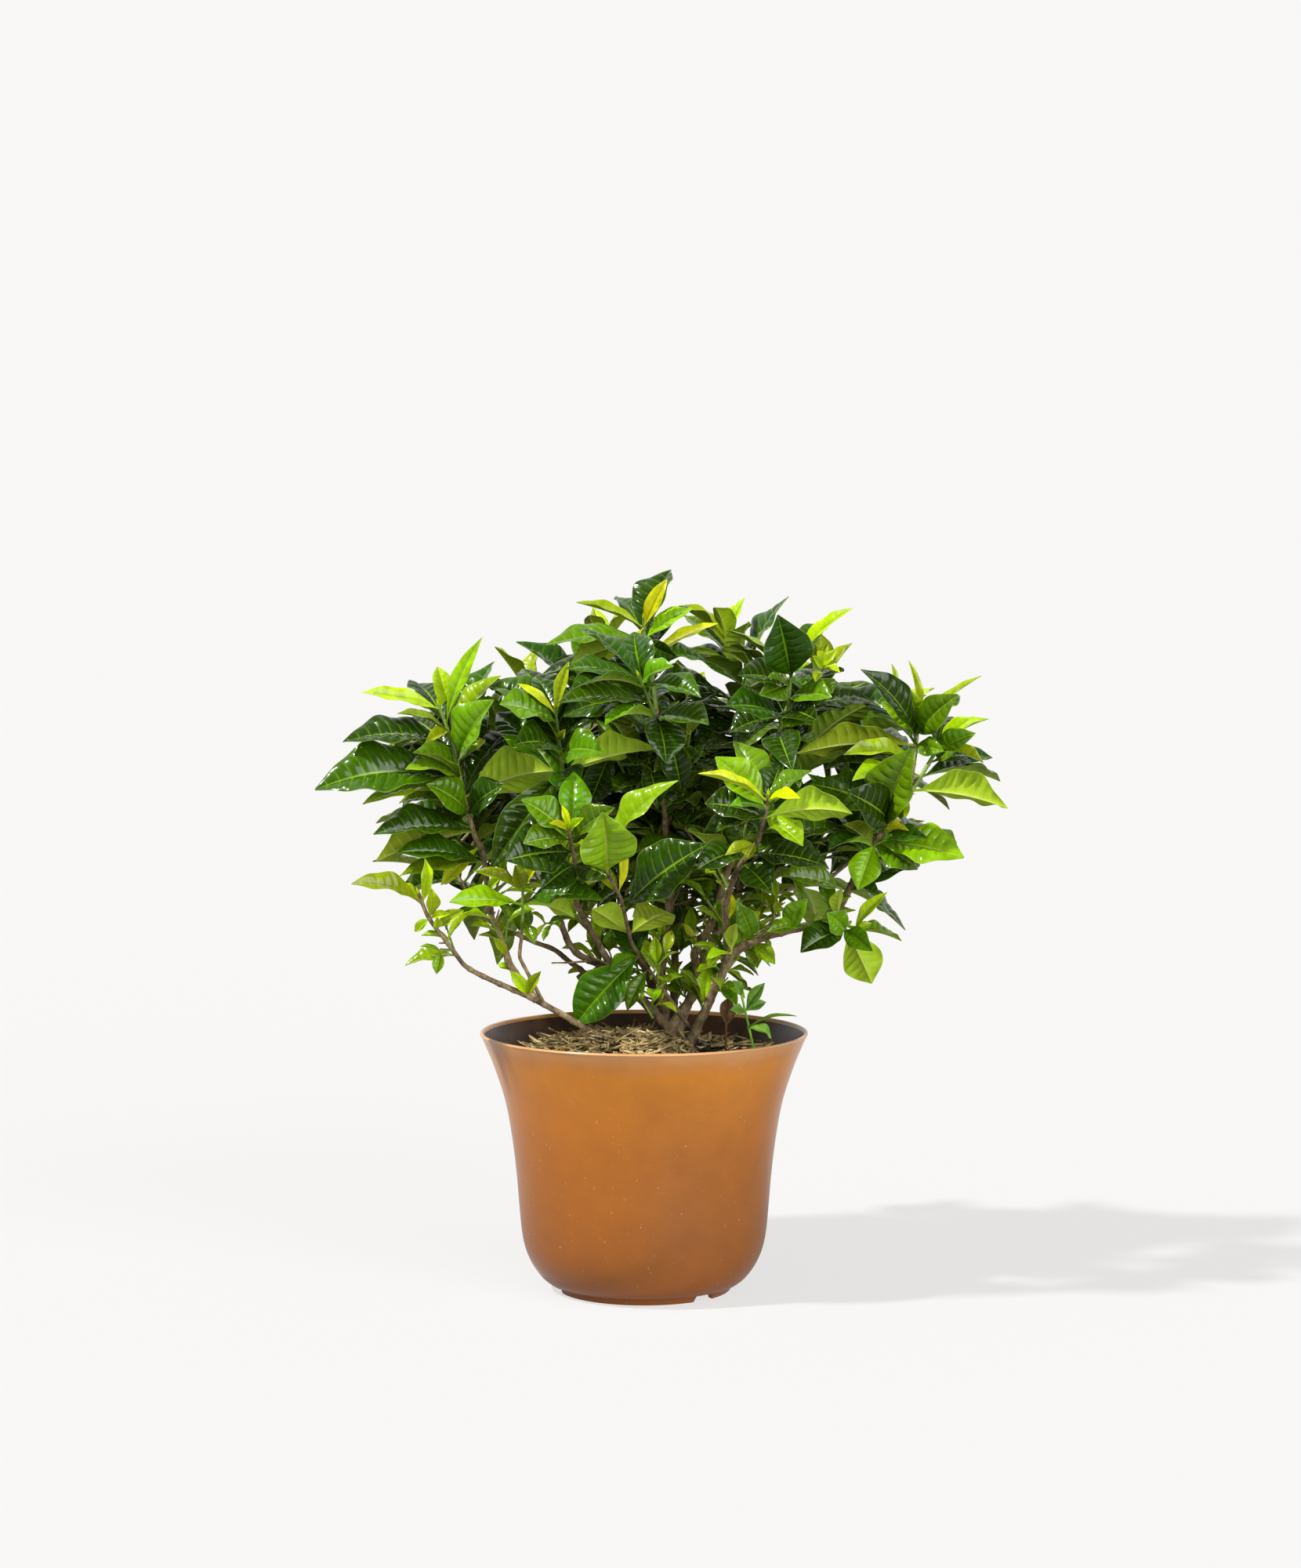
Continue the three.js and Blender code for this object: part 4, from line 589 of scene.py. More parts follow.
def rule_leaf(root, heading, place, order, seed, change):
    """A leaf placed by rule: long and spreading low on the shoot, short and steep near its end."""
    draw = chance(seed)
    flat = Vector((0, 0, 1)) if abs(heading.z) < 0.95 else Vector((1, 0, 0))
    east = heading.cross(flat).normalized()
    north = heading.cross(east)
    around = order + (draw() - 0.5) * 0.7 + math.radians(change[1] * 2)
    steep = math.radians(68 - 34 * place + 14 * (draw() - 0.5) + change[0] * 0.6)
    out = east * math.cos(around) + north * math.sin(around)
    lean = heading * math.cos(steep) + out * math.sin(steep)
    ahead = (lean + Vector((0, 0, -0.16 * (1 - place)))).normalized()
    length = (84 - 34 * place * place + 18 * (draw() - 0.5)) * change[2]
    look = heading * 0.6 + Vector((0, 0, 0.8))
    side = ahead.cross(look)
    tilt = math.radians(40 * (draw() - 0.5))
    face = look * math.cos(tilt) + side.normalized() * math.sin(tilt)
    age = 3 if place > 0.93 else 1 if place > 0.7 else 0
    return leaf_of(root, root + ahead * length, face, length * (0.4 + 0.07 * draw()), age, seed)


# Growing: the CAD source's rules again, which find each leaf where its solids have it


def corners_of(node):
    """A tree of the CAD node's points, in millimetres."""
    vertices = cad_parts[node].data.vertices
    tree = kdtree.KDTree(len(vertices))
    for i, vertex in enumerate(vertices):
        tree.insert(vertex.co / MM, i)
    tree.balance()
    return tree


CORNERS = {node: corners_of(node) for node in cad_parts}


def stands_in(node, leaf):
    """Whether the CAD node has this leaf: its tip, and all but one of its other upper points."""
    along = blade_stops(leaf)
    point, face, _ = blade_grid(leaf, [*along, 1], [0, -1, 1])
    upper = (point + face * LEAF_THICK / 2).reshape(-1, 3)
    order = [3 * len(along), *range(3 * len(along))]
    missed = 0
    for i in order:
        if CORNERS[node].find(upper[i])[2] > NEAR:
            missed += 1
            if i == order[0] or missed > 1:
                return False
    return True


def section_of(node, stem, low, high, bark=False):
    """The part of a stem, from one length to another, that belongs to one CAD node."""
    cells = max(1, math.floor((high - low - CELLS_SPARE) / CELL))
    section = SimpleNamespace(
        node=node, stem=stem, low=low, high=high, bark=bark, cells=cells, used=set(), leaves=[]
    )
    SECTIONS.append(section)
    return section


def cell_start(section, cell):
    """The length along the stem where a cell starts."""
    return section.low + CELLS_START + cell * CELL


def root_at(section, cell):
    """The middle of a cell, where a leaf in it starts."""
    line = section.stem.line
    low = point_at(line, cell_start(section, cell))
    return (low + point_at(line, cell_start(section, cell + 1))) * 0.5


def find_cell(section, length, ahead):
    """The free cell nearest to a length, on the side of the stem that the leaf leaves by."""
    line = section.stem.line
    wanted = math.floor((length - cell_start(section, 0)) / CELL)
    level = math.floor(wanted / WHORL_CELLS + 0.5) * WHORL_CELLS
    first = min(max(level, 0), section.cells - 1)
    for step in (0, 1, -1, 2, -2, 3, -3):
        cell = first + step
        if cell < 0 or cell >= section.cells:
            continue
        low = point_at(line, cell_start(section, cell))
        heading = (point_at(line, cell_start(section, cell + 1)) - low).normalized()
        east, north = ring_frame(level_axis(line), heading)
        turn = math.atan2(ahead.dot(north), ahead.dot(east)) / (2 * math.pi) * STEM_SIDES
        for beside in (0, 1 if turn - math.floor(turn) > 0.5 else -1):
            side = (math.floor(turn) + beside + STEM_SIDES) % STEM_SIDES
            if (cell, side) not in section.used:
                return cell, side
    return None


def grow(section, length, changes, make):
    """Finds the leaf among its changes that the CAD node has, and keeps it."""
    start = point_at(section.stem.line, length)
    for change in changes:
        place = find_cell(section, length, make(start, change).ahead)
        if place is None:
            continue
        leaf = make(root_at(section, place[0]), change)
        if stands_in(section.node, leaf):
            section.used.add(place)
            section.leaves.append(leaf)
            return True
    return False


STEMS = {}
SECTIONS = []


def grow_stems(shoot):
    """A shoot's path and its parts: bark, leafy stem and soft new growth."""
    name = shoot["name"]
    parent = STEMS[shoot["from"][0]] if "from" in shoot else None
    own = [seen(place) for place in shoot["path"]]
    if parent:
        own.insert(0, point_at(parent.line, length_at(parent.line, shoot["from"][1])))
    else:
        own.insert(0, Vector((own[0].x, own[0].y, TRUNK_FOOT)))
    line = line_of(own)
    first = 0 if parent else 1
    green = length_at(line, shoot["green"] + first)
    young = length_at(line, shoot["young"] + first) if "young" in shoot else math.inf
    stem = SimpleNamespace(
        line=line, first=first, green=green, young=young, thick=shoot["thick"], wood=f"wood_{name}"
    )
    if parent:
        place = length_at(parent.line, shoot["from"][1])
        stem.wood = f"leaves_{shoot['from'][0]}" if place > parent.green else parent.wood
    STEMS[name] = stem
    stem.bark_part = section_of(stem.wood, stem, 0, green - STEM_GAP / 2, bark=True)
    stem.leaf_part = section_of(
        f"leaves_{name}", stem, green + STEM_GAP / 2, min(young - STEM_GAP / 2, line.length)
    )
    if "young" in shoot:
        stem.young_part = section_of(f"young_{name}", stem, young + STEM_GAP / 2, line.length)


def grow_read_leaves(shoot, index):
    """The leaves of a shoot that were read one by one."""
    stem = STEMS[shoot["name"]]
    for i, row in enumerate(shoot.get("leaves", [])):
        length = length_at(stem.line, row[0] + stem.first)
        section = stem.leaf_part
        if row[6] > 2 and "young" in shoot and length > stem.young - NEAR_YOUNG:
            section = stem.young_part
        elif length < stem.green - NEAR_BARK:
            section = stem.bark_part
        seed = index * 100 + i

        def make(root, change):
            return read_leaf(root, row, seed, change)

        if not grow(section, length, READ_CHANGES, make):
            # The solids had no room for this leaf, so it grows where it was read.
            section.leaves.append(make(point_at(stem.line, length), UNCHANGED))


def grow_rule_leaves(shoot, index):
    """The leaves of a shoot that are placed by rule, in whorls of two or three."""
    section = STEMS[shoot["name"]].leaf_part
    pairs = shoot.get("rule") or shoot.get("fill") or 0
    for i in range(pairs):
        place = i / (pairs - 1) if pairs > 1 else 1
        reach = section.high - section.low - WHORLS_SPARE
        length = section.low + WHORLS_START + reach * place
        heading = heading_at(section.stem.line, length)
        many = 3 - i % 2 if "rule" in shoot else 2
        part = place if "rule" in shoot else place * 0.7
        for j in range(many):
            order = i * WHORL_TURN + 2 * math.pi * j / many
            seed = RULE_SEED + index * 100 + i * 4 + j

            def make(root, change):
                return rule_leaf(root, heading, part, order, seed, change)

            if "fill" in shoot and make(Vector(), UNCHANGED).ahead.y < 0.05:
                continue
            grow(section, length, RULE_CHANGES, make)


def grow_small(name, plant, index):
    """A small plant that stands in the soil by itself."""
    own = [seen(place) for place in plant["path"]]
    own.insert(0, Vector((own[0].x, own[0].y, SMALL_PLANT_FOOT)))
    line = line_of(own)
    stem = SimpleNamespace(line=line, first=1, thick=plant["thick"])
    section = section_of(name, stem, 0, line.length)
    for i, row in enumerate(plant["leaves"]):

        def make(root, change):
            return read_leaf(root, row, index * 100 + i, change)

        grow(section, length_at(line, row[0] + 1), READ_CHANGES, make)


for shoot in SHOOTS:
    grow_stems(shoot)
for index, shoot in enumerate(SHOOTS):
    grow_read_leaves(shoot, index)
grow_small("weed", WEED, 90)
grow_small("dead_leaf", DEAD_LEAF, 91)
for index, shoot in enumerate(SHOOTS):
    grow_rule_leaves(shoot, index)


# Growth too fine or too crowded for the solids: leafy twigs in thickets, and small sprouts and
# bare stubs on the old wood

# Thickets, from the heart of the bush to its front: the outline of each as the eye sees it, across
# and up, how deep it goes, the number of twigs tried, the length of its leaves, and the part of a
# leaf that may run through space that is already filled
THICKETS = [
    {
        "outline": [
            (-207, 405), (-193, 455), (-138, 468), (-70, 465), (-36, 490), (4, 500), (58, 475),
            (113, 480), (168, 448), (208, 420), (212, 378), (200, 330), (147, 304), (86, 300),
            (25, 296), (-36, 304), (-91, 318), (-159, 336), (-196, 352),
        ],
        "depth": (-12, 175), "tries": 430, "least": 38, "most": 68, "crowding": 0.18,
    },
    {
        "outline": [(-45, 345), (-40, 440), (70, 455), (110, 400), (90, 335), (20, 325)],
        "depth": (-48, 120), "tries": 700, "least": 40, "most": 66, "crowding": 0.3,
    },
    {
        "outline": [(-32, 350), (-28, 452), (48, 455), (52, 345)],
        "depth": (-75, 10), "tries": 3000, "least": 40, "most": 58, "crowding": 0.3,
    },
    {
        "outline": [(-100, 300), (-95, 345), (130, 335), (150, 300), (90, 282), (-40, 280)],
        "depth": (-45, 90), "tries": 500, "least": 20, "most": 44, "crowding": 0.25,
    },
    {
        "outline": [(20, 302), (14, 375), (120, 378), (150, 340), (130, 302)],
        "depth": (-160, -40), "tries": 5000, "least": 36, "most": 60, "crowding": 0.25,
    },
]
# Leans are angles off a stem, in degrees, and a stem's thickness goes from its foot to its tip.
THICKET_SEED = 9001
TWIG_SHORTEST = 24
TWIG_LONGEST = 60
TWIG_THICK = (1.5, 1.0)
TWIG_LEAN = (30, 85)
TWIG_LEAF_LEAN = (45, 78)
TWIG_WHORLS = 3
WHORL_LEAVES = 3
SPROUTS = 330
BARE_TWIGS = 130
SPROUT_SEED = 9101
SPROUT_LEAF_SEED = 80000
SPROUT_HEIGHTS = (212, 345)
SPROUT_THICK = (0.95, 0.55)
SPROUT_LEAN = (25, 75)
SPROUT_LEAF_LEAN = (25, 65)
SPROUT_CROWDING = 0.3
STOUT = 1.6
# The side of the small cubes that filled space is counted in
ROOM = 6.0
# Leaves in thickets are painted a deeper green: in part as old leaves in shade are, in part as painted
# shade in the heart of the bush.
THICKET_PAINTED_SHADE = 0.25


def stands_within(points, outline, depth):
    """Whether points are all within an outline that the eye sees, and within a depth."""
    for x, y, z in points:
        if not depth[0] < y < depth[1]:
            return False
        k = EYE.y / (EYE.y - y)
        across, up = EYE.x + (x - EYE.x) * k, EYE.z + (z - EYE.z) * k
        inside = False
        for (x1, z1), (x2, z2) in zip(outline, [*outline[1:], outline[0]]):
            if (z1 > up) != (z2 > up) and across < (x2 - x1) * (up - z1) / (z2 - z1) + x1:
                inside = not inside
        if not inside:
            return False
    return True


def cells_of(leaf):
    """The cubes of space that a blade passes through."""
    point, _, _ = blade_grid(leaf, np.linspace(0.15, 1, 14), [-0.9, -0.45, 0, 0.45, 0.9])
    return {tuple(cell) for cell in np.round(point.reshape(-1, 3) / ROOM).astype(int)}


FILLED = set()
for section in SECTIONS:
    for leaf in section.leaves:
        FILLED |= cells_of(leaf)


def side_twig(parent, length, heading, long, thick, bark):
    """A short stem that leaves another, curving up towards the light."""
    root = point_at(parent.stem.line, length)
    lift = Vector((0, 0, long * 0.12))
    points = [root, root + heading * long * 0.5 + lift * 0.4, root + heading * long + lift]
    stem = SimpleNamespace(line=line_of(points), first=0, thick=thick)
    return SimpleNamespace(
        node=parent.node, stem=stem, low=0, high=stem.line.length, bark=bark, leaves=[]
    )


def is_stout(stem):
    """Whether a stem is thick enough at its foot to be old wood."""
    return stem.thick[0] > STOUT


def any_way(draw, heading, least, most):
    """A direction that leans off a stem's heading by an angle between two limits."""
    level = Vector((0, 1, 0)) if abs(heading.y) < 0.9 else Vector((1, 0, 0))
    east, north = ring_frame(level, heading)
    around, lean = math.tau * draw(), math.radians(least + (most - least) * draw())
    out = east * math.cos(around) + north * math.sin(around)
    return (heading * math.cos(lean) + out * math.sin(lean)).normalized()


def leaf_up(twig, place, ahead, long, wide, age, seed):
    """A leaf on a twig, its face turned up."""
    root = point_at(twig.stem.line, twig.high * place)
    look = Vector((0, -0.25, 1)) if abs(ahead.z) < 0.9 else Vector((0, -1, 0.3))
    return leaf_of(root, root + ahead * long, look, wide, age, seed)


def grow_thicket(seed, outline, depth, tries, least, most, crowding):
    """Twigs of three whorls that fill a part of the bush, on whatever stems pass there."""
    draw = chance(seed)
    hosts = [section for section in SECTIONS if section.node.startswith(("wood", "leaves"))]
    for i in range(tries):
        host = hosts[int(draw() * len(hosts))]
        length = host.low + (host.high - host.low) * draw()
        heading = any_way(draw, heading_at(host.stem.line, length), *TWIG_LEAN)
        long = TWIG_SHORTEST + (TWIG_LONGEST - TWIG_SHORTEST) * draw()
        if heading.z < -0.15:
            continue
        twig = side_twig(host, length, heading, long, TWIG_THICK, bark=long > 45)
        if not stands_within(twig.stem.line.points[1:], outline, depth):
            continue
        for j in range(TWIG_WHORLS * WHORL_LEAVES):
            part = 0.5 + 0.25 * (j // WHORL_LEAVES)
            way = any_way(draw, heading_at(twig.stem.line, twig.high * part), *TWIG_LEAF_LEAN)
            size = least + (most - least) * draw()
            wide = size * (0.42 + 0.08 * draw())
            age = 1 if draw() > 0.72 else 0
            leaf = leaf_up(twig, part, way, size, wide, age, seed * 10 + i * 10 + j)
            # A thicket leaf's low tone is painted shade.
            leaf.pale = THICKET_PAINTED_SHADE
            cells = cells_of(leaf)
            if len(cells & FILLED) > crowding * len(cells):
                continue
            points, _, _ = blade_grid(leaf, [0.5, 1], [-1, 1])
            if stands_within(points.reshape(-1, 3), outline, depth):
                twig.leaves.append(leaf)
                FILLED.update(cells)
        if len(twig.leaves) > 1:
            SECTIONS.append(twig)


def grow_sprouts():
    """Short leafy sprouts, then bare stubs, on the old wood under the foliage."""
    draw = chance(SPROUT_SEED)
    lowest, highest = SPROUT_HEIGHTS
    hosts = [
        section for section in SECTIONS
        if section.bark and section.node.startswith("wood") and is_stout(section.stem)
    ]
    for i in range(SPROUTS + BARE_TWIGS):
        host = hosts[int(draw() * len(hosts))]
        length = host.low + (host.high - host.low) * draw()
        place = point_at(host.stem.line, length)
        heading = any_way(draw, heading_at(host.stem.line, length), *SPROUT_LEAN)
        bare = i >= SPROUTS
        inner = -45 < place.x < 95
        if bare and inner:
            long = 6 + 42 * draw() ** 2
        else:
            long = 6 + (5 if bare else 20) * draw()
        on_low_branch = place.x < -50 and place.z < 265
        if not lowest < place.z < highest or heading.z < -0.2 or on_low_branch:
            continue
        twig = side_twig(host, length, heading, long, SPROUT_THICK, bark=bare)
        large = draw() ** 1.5
        for j in range(0 if bare else 2 + int(draw() * 4)):
            part = 1 if j < 2 else 0.6
            way = any_way(draw, heading, *SPROUT_LEAF_LEAN)
            size = 9 + 8 * draw() + 18 * large
            age = 1.6 + 1.8 * draw() - large
            leaf_seed = SPROUT_LEAF_SEED + i * 10 + j
            leaf = leaf_up(twig, part, way, size, size * 0.46, age, leaf_seed)
            cells = cells_of(leaf)
            if len(cells & FILLED) <= SPROUT_CROWDING * len(cells):
                twig.leaves.append(leaf)
                FILLED.update(cells)
        SECTIONS.append(twig)


for i, thicket in enumerate(THICKETS):
    grow_thicket(THICKET_SEED + i, **thicket)
grow_sprouts()


# Finishes


def colour(code):
    """An sRGB hex colour as the linear colour that a shader takes."""
    parts = [int(code[i : i + 2], 16) / 255 for i in (1, 3, 5)]
    return [*(c / 12.92 if c <= 0.04045 else ((c + 0.055) / 1.055) ** 2.4 for c in parts), 1]


def put(tree, kind, inputs=None, stops=None, **settings):
    """Adds a node with its settings, the stops of its ramp and its inputs. An input takes a plain
    value, an output, or a node, which stands for its first output in use."""
    made = tree.nodes.new(f"ShaderNode{kind}")
    for name, value in settings.items():
        setattr(made, name, value)
    for i, (place, code) in enumerate(stops or []):
        ramp = made.color_ramp.elements
        stop = ramp[0] if i == 0 else ramp[-1] if i == len(stops) - 1 else ramp.new(place)
        stop.position, stop.color = place, colour(code)
    used = [socket for socket in made.inputs if socket.enabled]
    for key, value in (inputs or {}).items():
        entry = used[key] if key in (0, 1) else next(one for one in used if one.name == key)
        if isinstance(value, bpy.types.Node):
            value = next(socket for socket in value.outputs if socket.enabled)
        if isinstance(value, bpy.types.NodeSocket):
            tree.links.new(value, entry)
        else:
            entry.default_value = value
    return made


def new_finish(name):
    """A material, with its tree of nodes still empty."""
    finish = bpy.data.materials.new(name)
    finish.use_nodes = True
    finish.node_tree.nodes.clear()
    return finish, finish.node_tree


def pattern_scale(size):
    """The scale that draws a pattern's marks at a real size in millimetres."""
    return 1 / (size * MM)


# What each point of a piece tells its finish: where it is from one rim of the blade to the other, how
# many side veins it is from the stalk, how old the leaf is, and the leaf's or strand's own tone, which in
# thicket leaves is lowered as painted shade
TRAITS = ("across", "rib", "age", "tone")


def leaf_face(name, ages, vein, rough, coat, vein_part, mottle):
    """One face of a leaf: its age sets its green, midrib and side veins are paler, and its pale rim is a
    painted highlight.
    """
    finish, tree = new_finish(name)
    read = {t: put(tree, "Attribute", attribute_name=t).outputs["Fac"] for t in TRAITS}
    place = put(tree, "TexCoord").outputs["Object"]
    green = put(tree, "ValToRGB", {"Fac": read["age"]}, stops=ages)
    # Blotches, as the blade is a little uneven in depth of green
    blotch = put(
        tree, "TexNoise", {"Vector": place, "Scale": pattern_scale(9.09), "Detail": 3.0}
    )
    # The tone sets how light the green is; a thicket leaf's low tone is painted shade.
    light = put(tree, "MapRange", {"Value": read["tone"], "To Min": 0.6, "To Max": 1.3})
    uneven = put(tree, "MapRange", {
        "Value": blotch, "From Min": 0.3, "From Max": 0.7, "To Min": 1 - mottle,
        "To Max": 1 + mottle,
    })
    value = put(tree, "Math", {0: light, 1: uneven}, operation="MULTIPLY")
    hue = put(tree, "MapRange", {"Value": read["tone"], "To Min": 0.49, "To Max": 0.515})
    green = put(tree, "HueSaturation", {"Hue": hue, "Value": value, "Color": green})
    out = put(tree, "Math", {0: read["across"]}, operation="ABSOLUTE")
    between = put(tree, "Math", {0: read["rib"], 1: 0.5}, operation="PINGPONG")
    side_vein = put(
        tree, "MapRange",
        {"Value": between, "From Min": 0.03, "From Max": 0.11, "To Min": 1.0, "To Max": 0.0},
        interpolation_type="SMOOTHSTEP",
    )
    inward = put(tree, "Math", {0: 1.0, 1: out}, operation="SUBTRACT")
    side_vein = put(tree, "Math", {0: side_vein, 1: inward}, operation="MULTIPLY")
    side_vein = put(tree, "Math", {0: side_vein, 1: vein_part}, operation="MULTIPLY")
    midrib = put(
        tree, "MapRange",
        {"Value": out, "From Min": 0.02, "From Max": 0.06, "To Min": 0.9, "To Max": 0.0},
        interpolation_type="SMOOTHSTEP",
    )
    # The pale rim is a painted highlight along the blade's edge.
    rim = put(tree, "MapRange", {"Value": out, "From Min": 0.95, "From Max": 1.0, "To Max": 0.45})
    lines = put(tree, "Math", {0: side_vein, 1: midrib}, operation="MAXIMUM")
    lines = put(tree, "Math", {0: lines, 1: rim}, operation="MAXIMUM")
    # The veins of new growth are yellower than an old leaf's.
    veins = {"Factor": read["age"], "A": colour(vein), "B": colour("#d8dc6a")}
    pale = put(tree, "Mix", veins, data_type="RGBA")
    skin = put(tree, "Mix", {"Factor": lines, "A": green, "B": pale}, data_type="RGBA")
    roughness = put(
        tree, "MapRange", {"Value": blotch, "To Min": rough - 0.07, "To Max": rough + 0.09}
    )
    # Cuticle cells, drawn far larger than the real ones so that they show
    cells = put(
        tree, "TexNoise", {"Vector": place, "Scale": pattern_scale(0.7143), "Detail": 2.0}
    )
    bump = put(tree, "Bump", {"Height": cells, "Strength": 0.12, "Distance": 0.0002})
    shader = put(tree, "BsdfPrincipled", {
        "Base Color": skin, "Roughness": roughness, "IOR": 1.4, "Specular IOR Level": 0.25,
        "Coat Weight": coat, "Coat Roughness": 0.07, "Coat IOR": 1.5, "Normal": bump,
    })
    put(tree, "OutputMaterial", {"Surface": shader})
    return finish


# Waxed gardenia leaf, upper face: a thick cuticle gives deep green with broad white gloss.
WAXED_LEAF = leaf_face(
    "waxed_leaf_upper",
    [(0, "#2a4900"), (0.25, "#608c00"), (0.5, "#88ae00"), (0.75, "#a8c200"), (1, "#cccc00")],
    "#8eb42c", rough=0.26, coat=0.45, vein_part=0.35, mottle=0.22,
)
# The same leaf's underside: no wax, so it is matte and paler, with raised veins.
MATTE_UNDERSIDE = leaf_face(
    "matte_leaf_underside",
    [(0, "#98b432"), (0.25, "#a2bc34"), (0.5, "#aac42c"), (0.75, "#b4ca1c"), (1, "#c4ce1c")],
    "#c4d47a", rough=0.5, coat=0.0, vein_part=0.5, mottle=0.12,
)


def rind(name, deep, pale, grain_mm, rough, bump_mm, stretch=1.0):
    """A rough natural surface: two colours in blotches, with grain of a real size."""
    finish, tree = new_finish(name)
    place = put(tree, "TexCoord").outputs["Object"]
    tone = put(tree, "Attribute", attribute_name="tone").outputs["Fac"]
    spread = put(tree, "Mapping", {"Vector": place, "Scale": (1.0, 1.0, stretch)})
    grain = put(tree, "TexNoise", {
        "Vector": spread, "Scale": pattern_scale(grain_mm), "Detail": 6.0, "Roughness": 0.65,
    })
    blotch = put(
        tree, "TexNoise", {"Vector": place, "Scale": pattern_scale(5 * grain_mm), "Detail": 2.0}
    )
    mixed = put(tree, "Math", {0: grain, 1: blotch}, operation="MULTIPLY")
    mixed = put(tree, "MapRange", {"Value": mixed, "From Min": 0.12, "From Max": 0.4})
    colours = {"Factor": mixed, "A": colour(deep), "B": colour(pale)}
    body = put(tree, "Mix", colours, data_type="RGBA")
    light = put(tree, "MapRange", {"Value": tone, "To Min": 0.62, "To Max": 1.3})
    body = put(tree, "HueSaturation", {"Value": light, "Color": body})
    bump = put(tree, "Bump", {"Height": grain, "Strength": 0.8, "Distance": bump_mm * MM})
    shader = put(tree, "BsdfPrincipled", {
        "Base Color": body, "Roughness": rough, "IOR": 1.45, "Normal": bump,
    })
    put(tree, "OutputMaterial", {"Surface": shader})
    return finish


# Gardenia bark: thin, grey-brown and finely cracked, so it is dull and mottled.
GREY_BARK = rind("grey_bark", "#54432c", "#bca47a", 1.6, 0.85, 0.35, stretch=0.35)
# Green stem: smooth skin with a slight gloss.
GREEN_STEM = rind("green_stem_skin", "#5f7f26", "#93ab40", 4.0, 0.45, 0.06, stretch=0.4)
# Moist peat compost: near black, with a wet glint on its crumbs.
WET_COMPOST = rind("wet_compost", "#130c07", "#3a281a", 1.3, 0.7, 0.5)
# Shredded bark: dry, fibrous and tan, each strand of its own tone.
DRY_SHREDDED_BARK = rind("dry_shredded_bark", "#7c6030", "#e6cf96", 1.1, 0.9, 0.3)
# Dead leaf: papery and brown.
DRY_LEAF = rind("dry_brown_leaf", "#4a3018", "#80602f", 2.2, 0.85, 0.15)
# Seedling leaf: thin, soft and bright green.
SEEDLING_LEAF = rind("seedling_leaf", "#4e8a1c", "#98c440", 3.0, 0.55, 0.08)


def moulded_plastic():
    """Injection-moulded polypropylene: satin, amber-brown, with pale scuffs and specks."""
    finish, tree = new_finish("moulded_polypropylene")
    place = put(tree, "TexCoord").outputs["Object"]
    up = put(tree, "SeparateXYZ", {"Vector": place}).outputs["Z"]
    height = put(tree, "MapRange", {"Value": up, "From Max": 0.2})
    # Broad drifts keep the colours of the wall from lying in level bands.
    drift = put(
        tree, "TexNoise", {"Vector": place, "Scale": pattern_scale(38.5), "Detail": 2.0}
    )
    drift = put(tree, "MapRange", {"Value": drift, "To Min": -0.03, "To Max": 0.03})
    height = put(tree, "Math", {0: height, 1: drift}, operation="ADD")
    # The wall is painted darker towards the base and brighter towards the rim as painted shade and light,
    # duller just under the rim, and its top stop is pale as a painted highlight along the lip.
    wall = put(tree, "ValToRGB", {"Fac": height}, stops=[
        (0, "#a2580a"), (0.12, "#a0590a"), (0.25, "#9e590c"), (0.6, "#b46810"), (0.8, "#cc7a16"),
        (0.9, "#d88414"), (0.94, "#d48632"), (1, "#d89e64"),
    ])
    cloud = put(tree, "TexNoise", {
        "Vector": place, "Scale": pattern_scale(22.2), "Detail": 8.0, "Roughness": 0.65,
    })
    shade = put(tree, "MapRange", {
        "Value": cloud, "From Min": 0.3, "From Max": 0.7, "To Min": 0.93, "To Max": 1.07,
    })
    wall = put(tree, "HueSaturation", {"Value": shade, "Color": wall})
    # Specks of dust about 0.8 mm across, in the middle of far larger cells
    specks = put(tree, "TexVoronoi", {"Vector": place, "Scale": pattern_scale(4.17)})
    specks = put(tree, "MapRange", {
        "Value": specks, "From Min": 0.1, "From Max": 0.2, "To Min": 0.6, "To Max": 0.0,
    })
    sparse = put(tree, "TexNoise", {"Vector": place, "Scale": pattern_scale(6.67)})
    sparse = put(tree, "MapRange", {"Value": sparse, "From Min": 0.58, "From Max": 0.66})
    specks = put(tree, "Math", {0: specks, 1: sparse}, operation="MULTIPLY")
    # Scuffs a few millimetres long, mostly level as from stacking
    spread = put(tree, "Mapping", {"Vector": place, "Scale": (0.5, 0.5, 2.2)})
    scuffs = put(tree, "TexNoise", {
        "Vector": spread, "Scale": pattern_scale(3.85), "Detail": 5.0, "Roughness": 0.7,
    })
    scuffs = put(
        tree, "MapRange", {"Value": scuffs, "From Min": 0.62, "From Max": 0.8, "To Max": 0.3}
    )
    marks = put(tree, "Math", {0: specks, 1: scuffs}, operation="MAXIMUM")
    dusty = {"Factor": marks, "A": wall, "B": colour("#d9b48c")}
    wall = put(tree, "Mix", dusty, data_type="RGBA")
    rough = put(tree, "MapRange", {"Value": cloud, "To Min": 0.36, "To Max": 0.5})
    bump = put(tree, "Bump", {"Height": scuffs, "Strength": 0.3, "Distance": 0.0002})
    shader = put(tree, "BsdfPrincipled", {
        "Base Color": wall, "Roughness": rough, "IOR": 1.49, "Coat Weight": 0.5,
        "Coat Roughness": 0.22, "Sheen Weight": 0.15, "Sheen Roughness": 0.3, "Normal": bump,
    })
    put(tree, "OutputMaterial", {"Surface": shader})
    return finish


PLASTIC = moulded_plastic()
# The inside of the same plastic, painted dark: partly stained by wet soil, partly painted shade inside
# the pot.
STAINED_SHADED_PLASTIC = rind("stained_painted_shade_plastic", "#4a2f22", "#7c5744", 9.0, 0.4, 0.05)


# Meshes


# Edges that turn more sharply than this aren't shaded as one smooth face.
SHARP_EDGE = 48


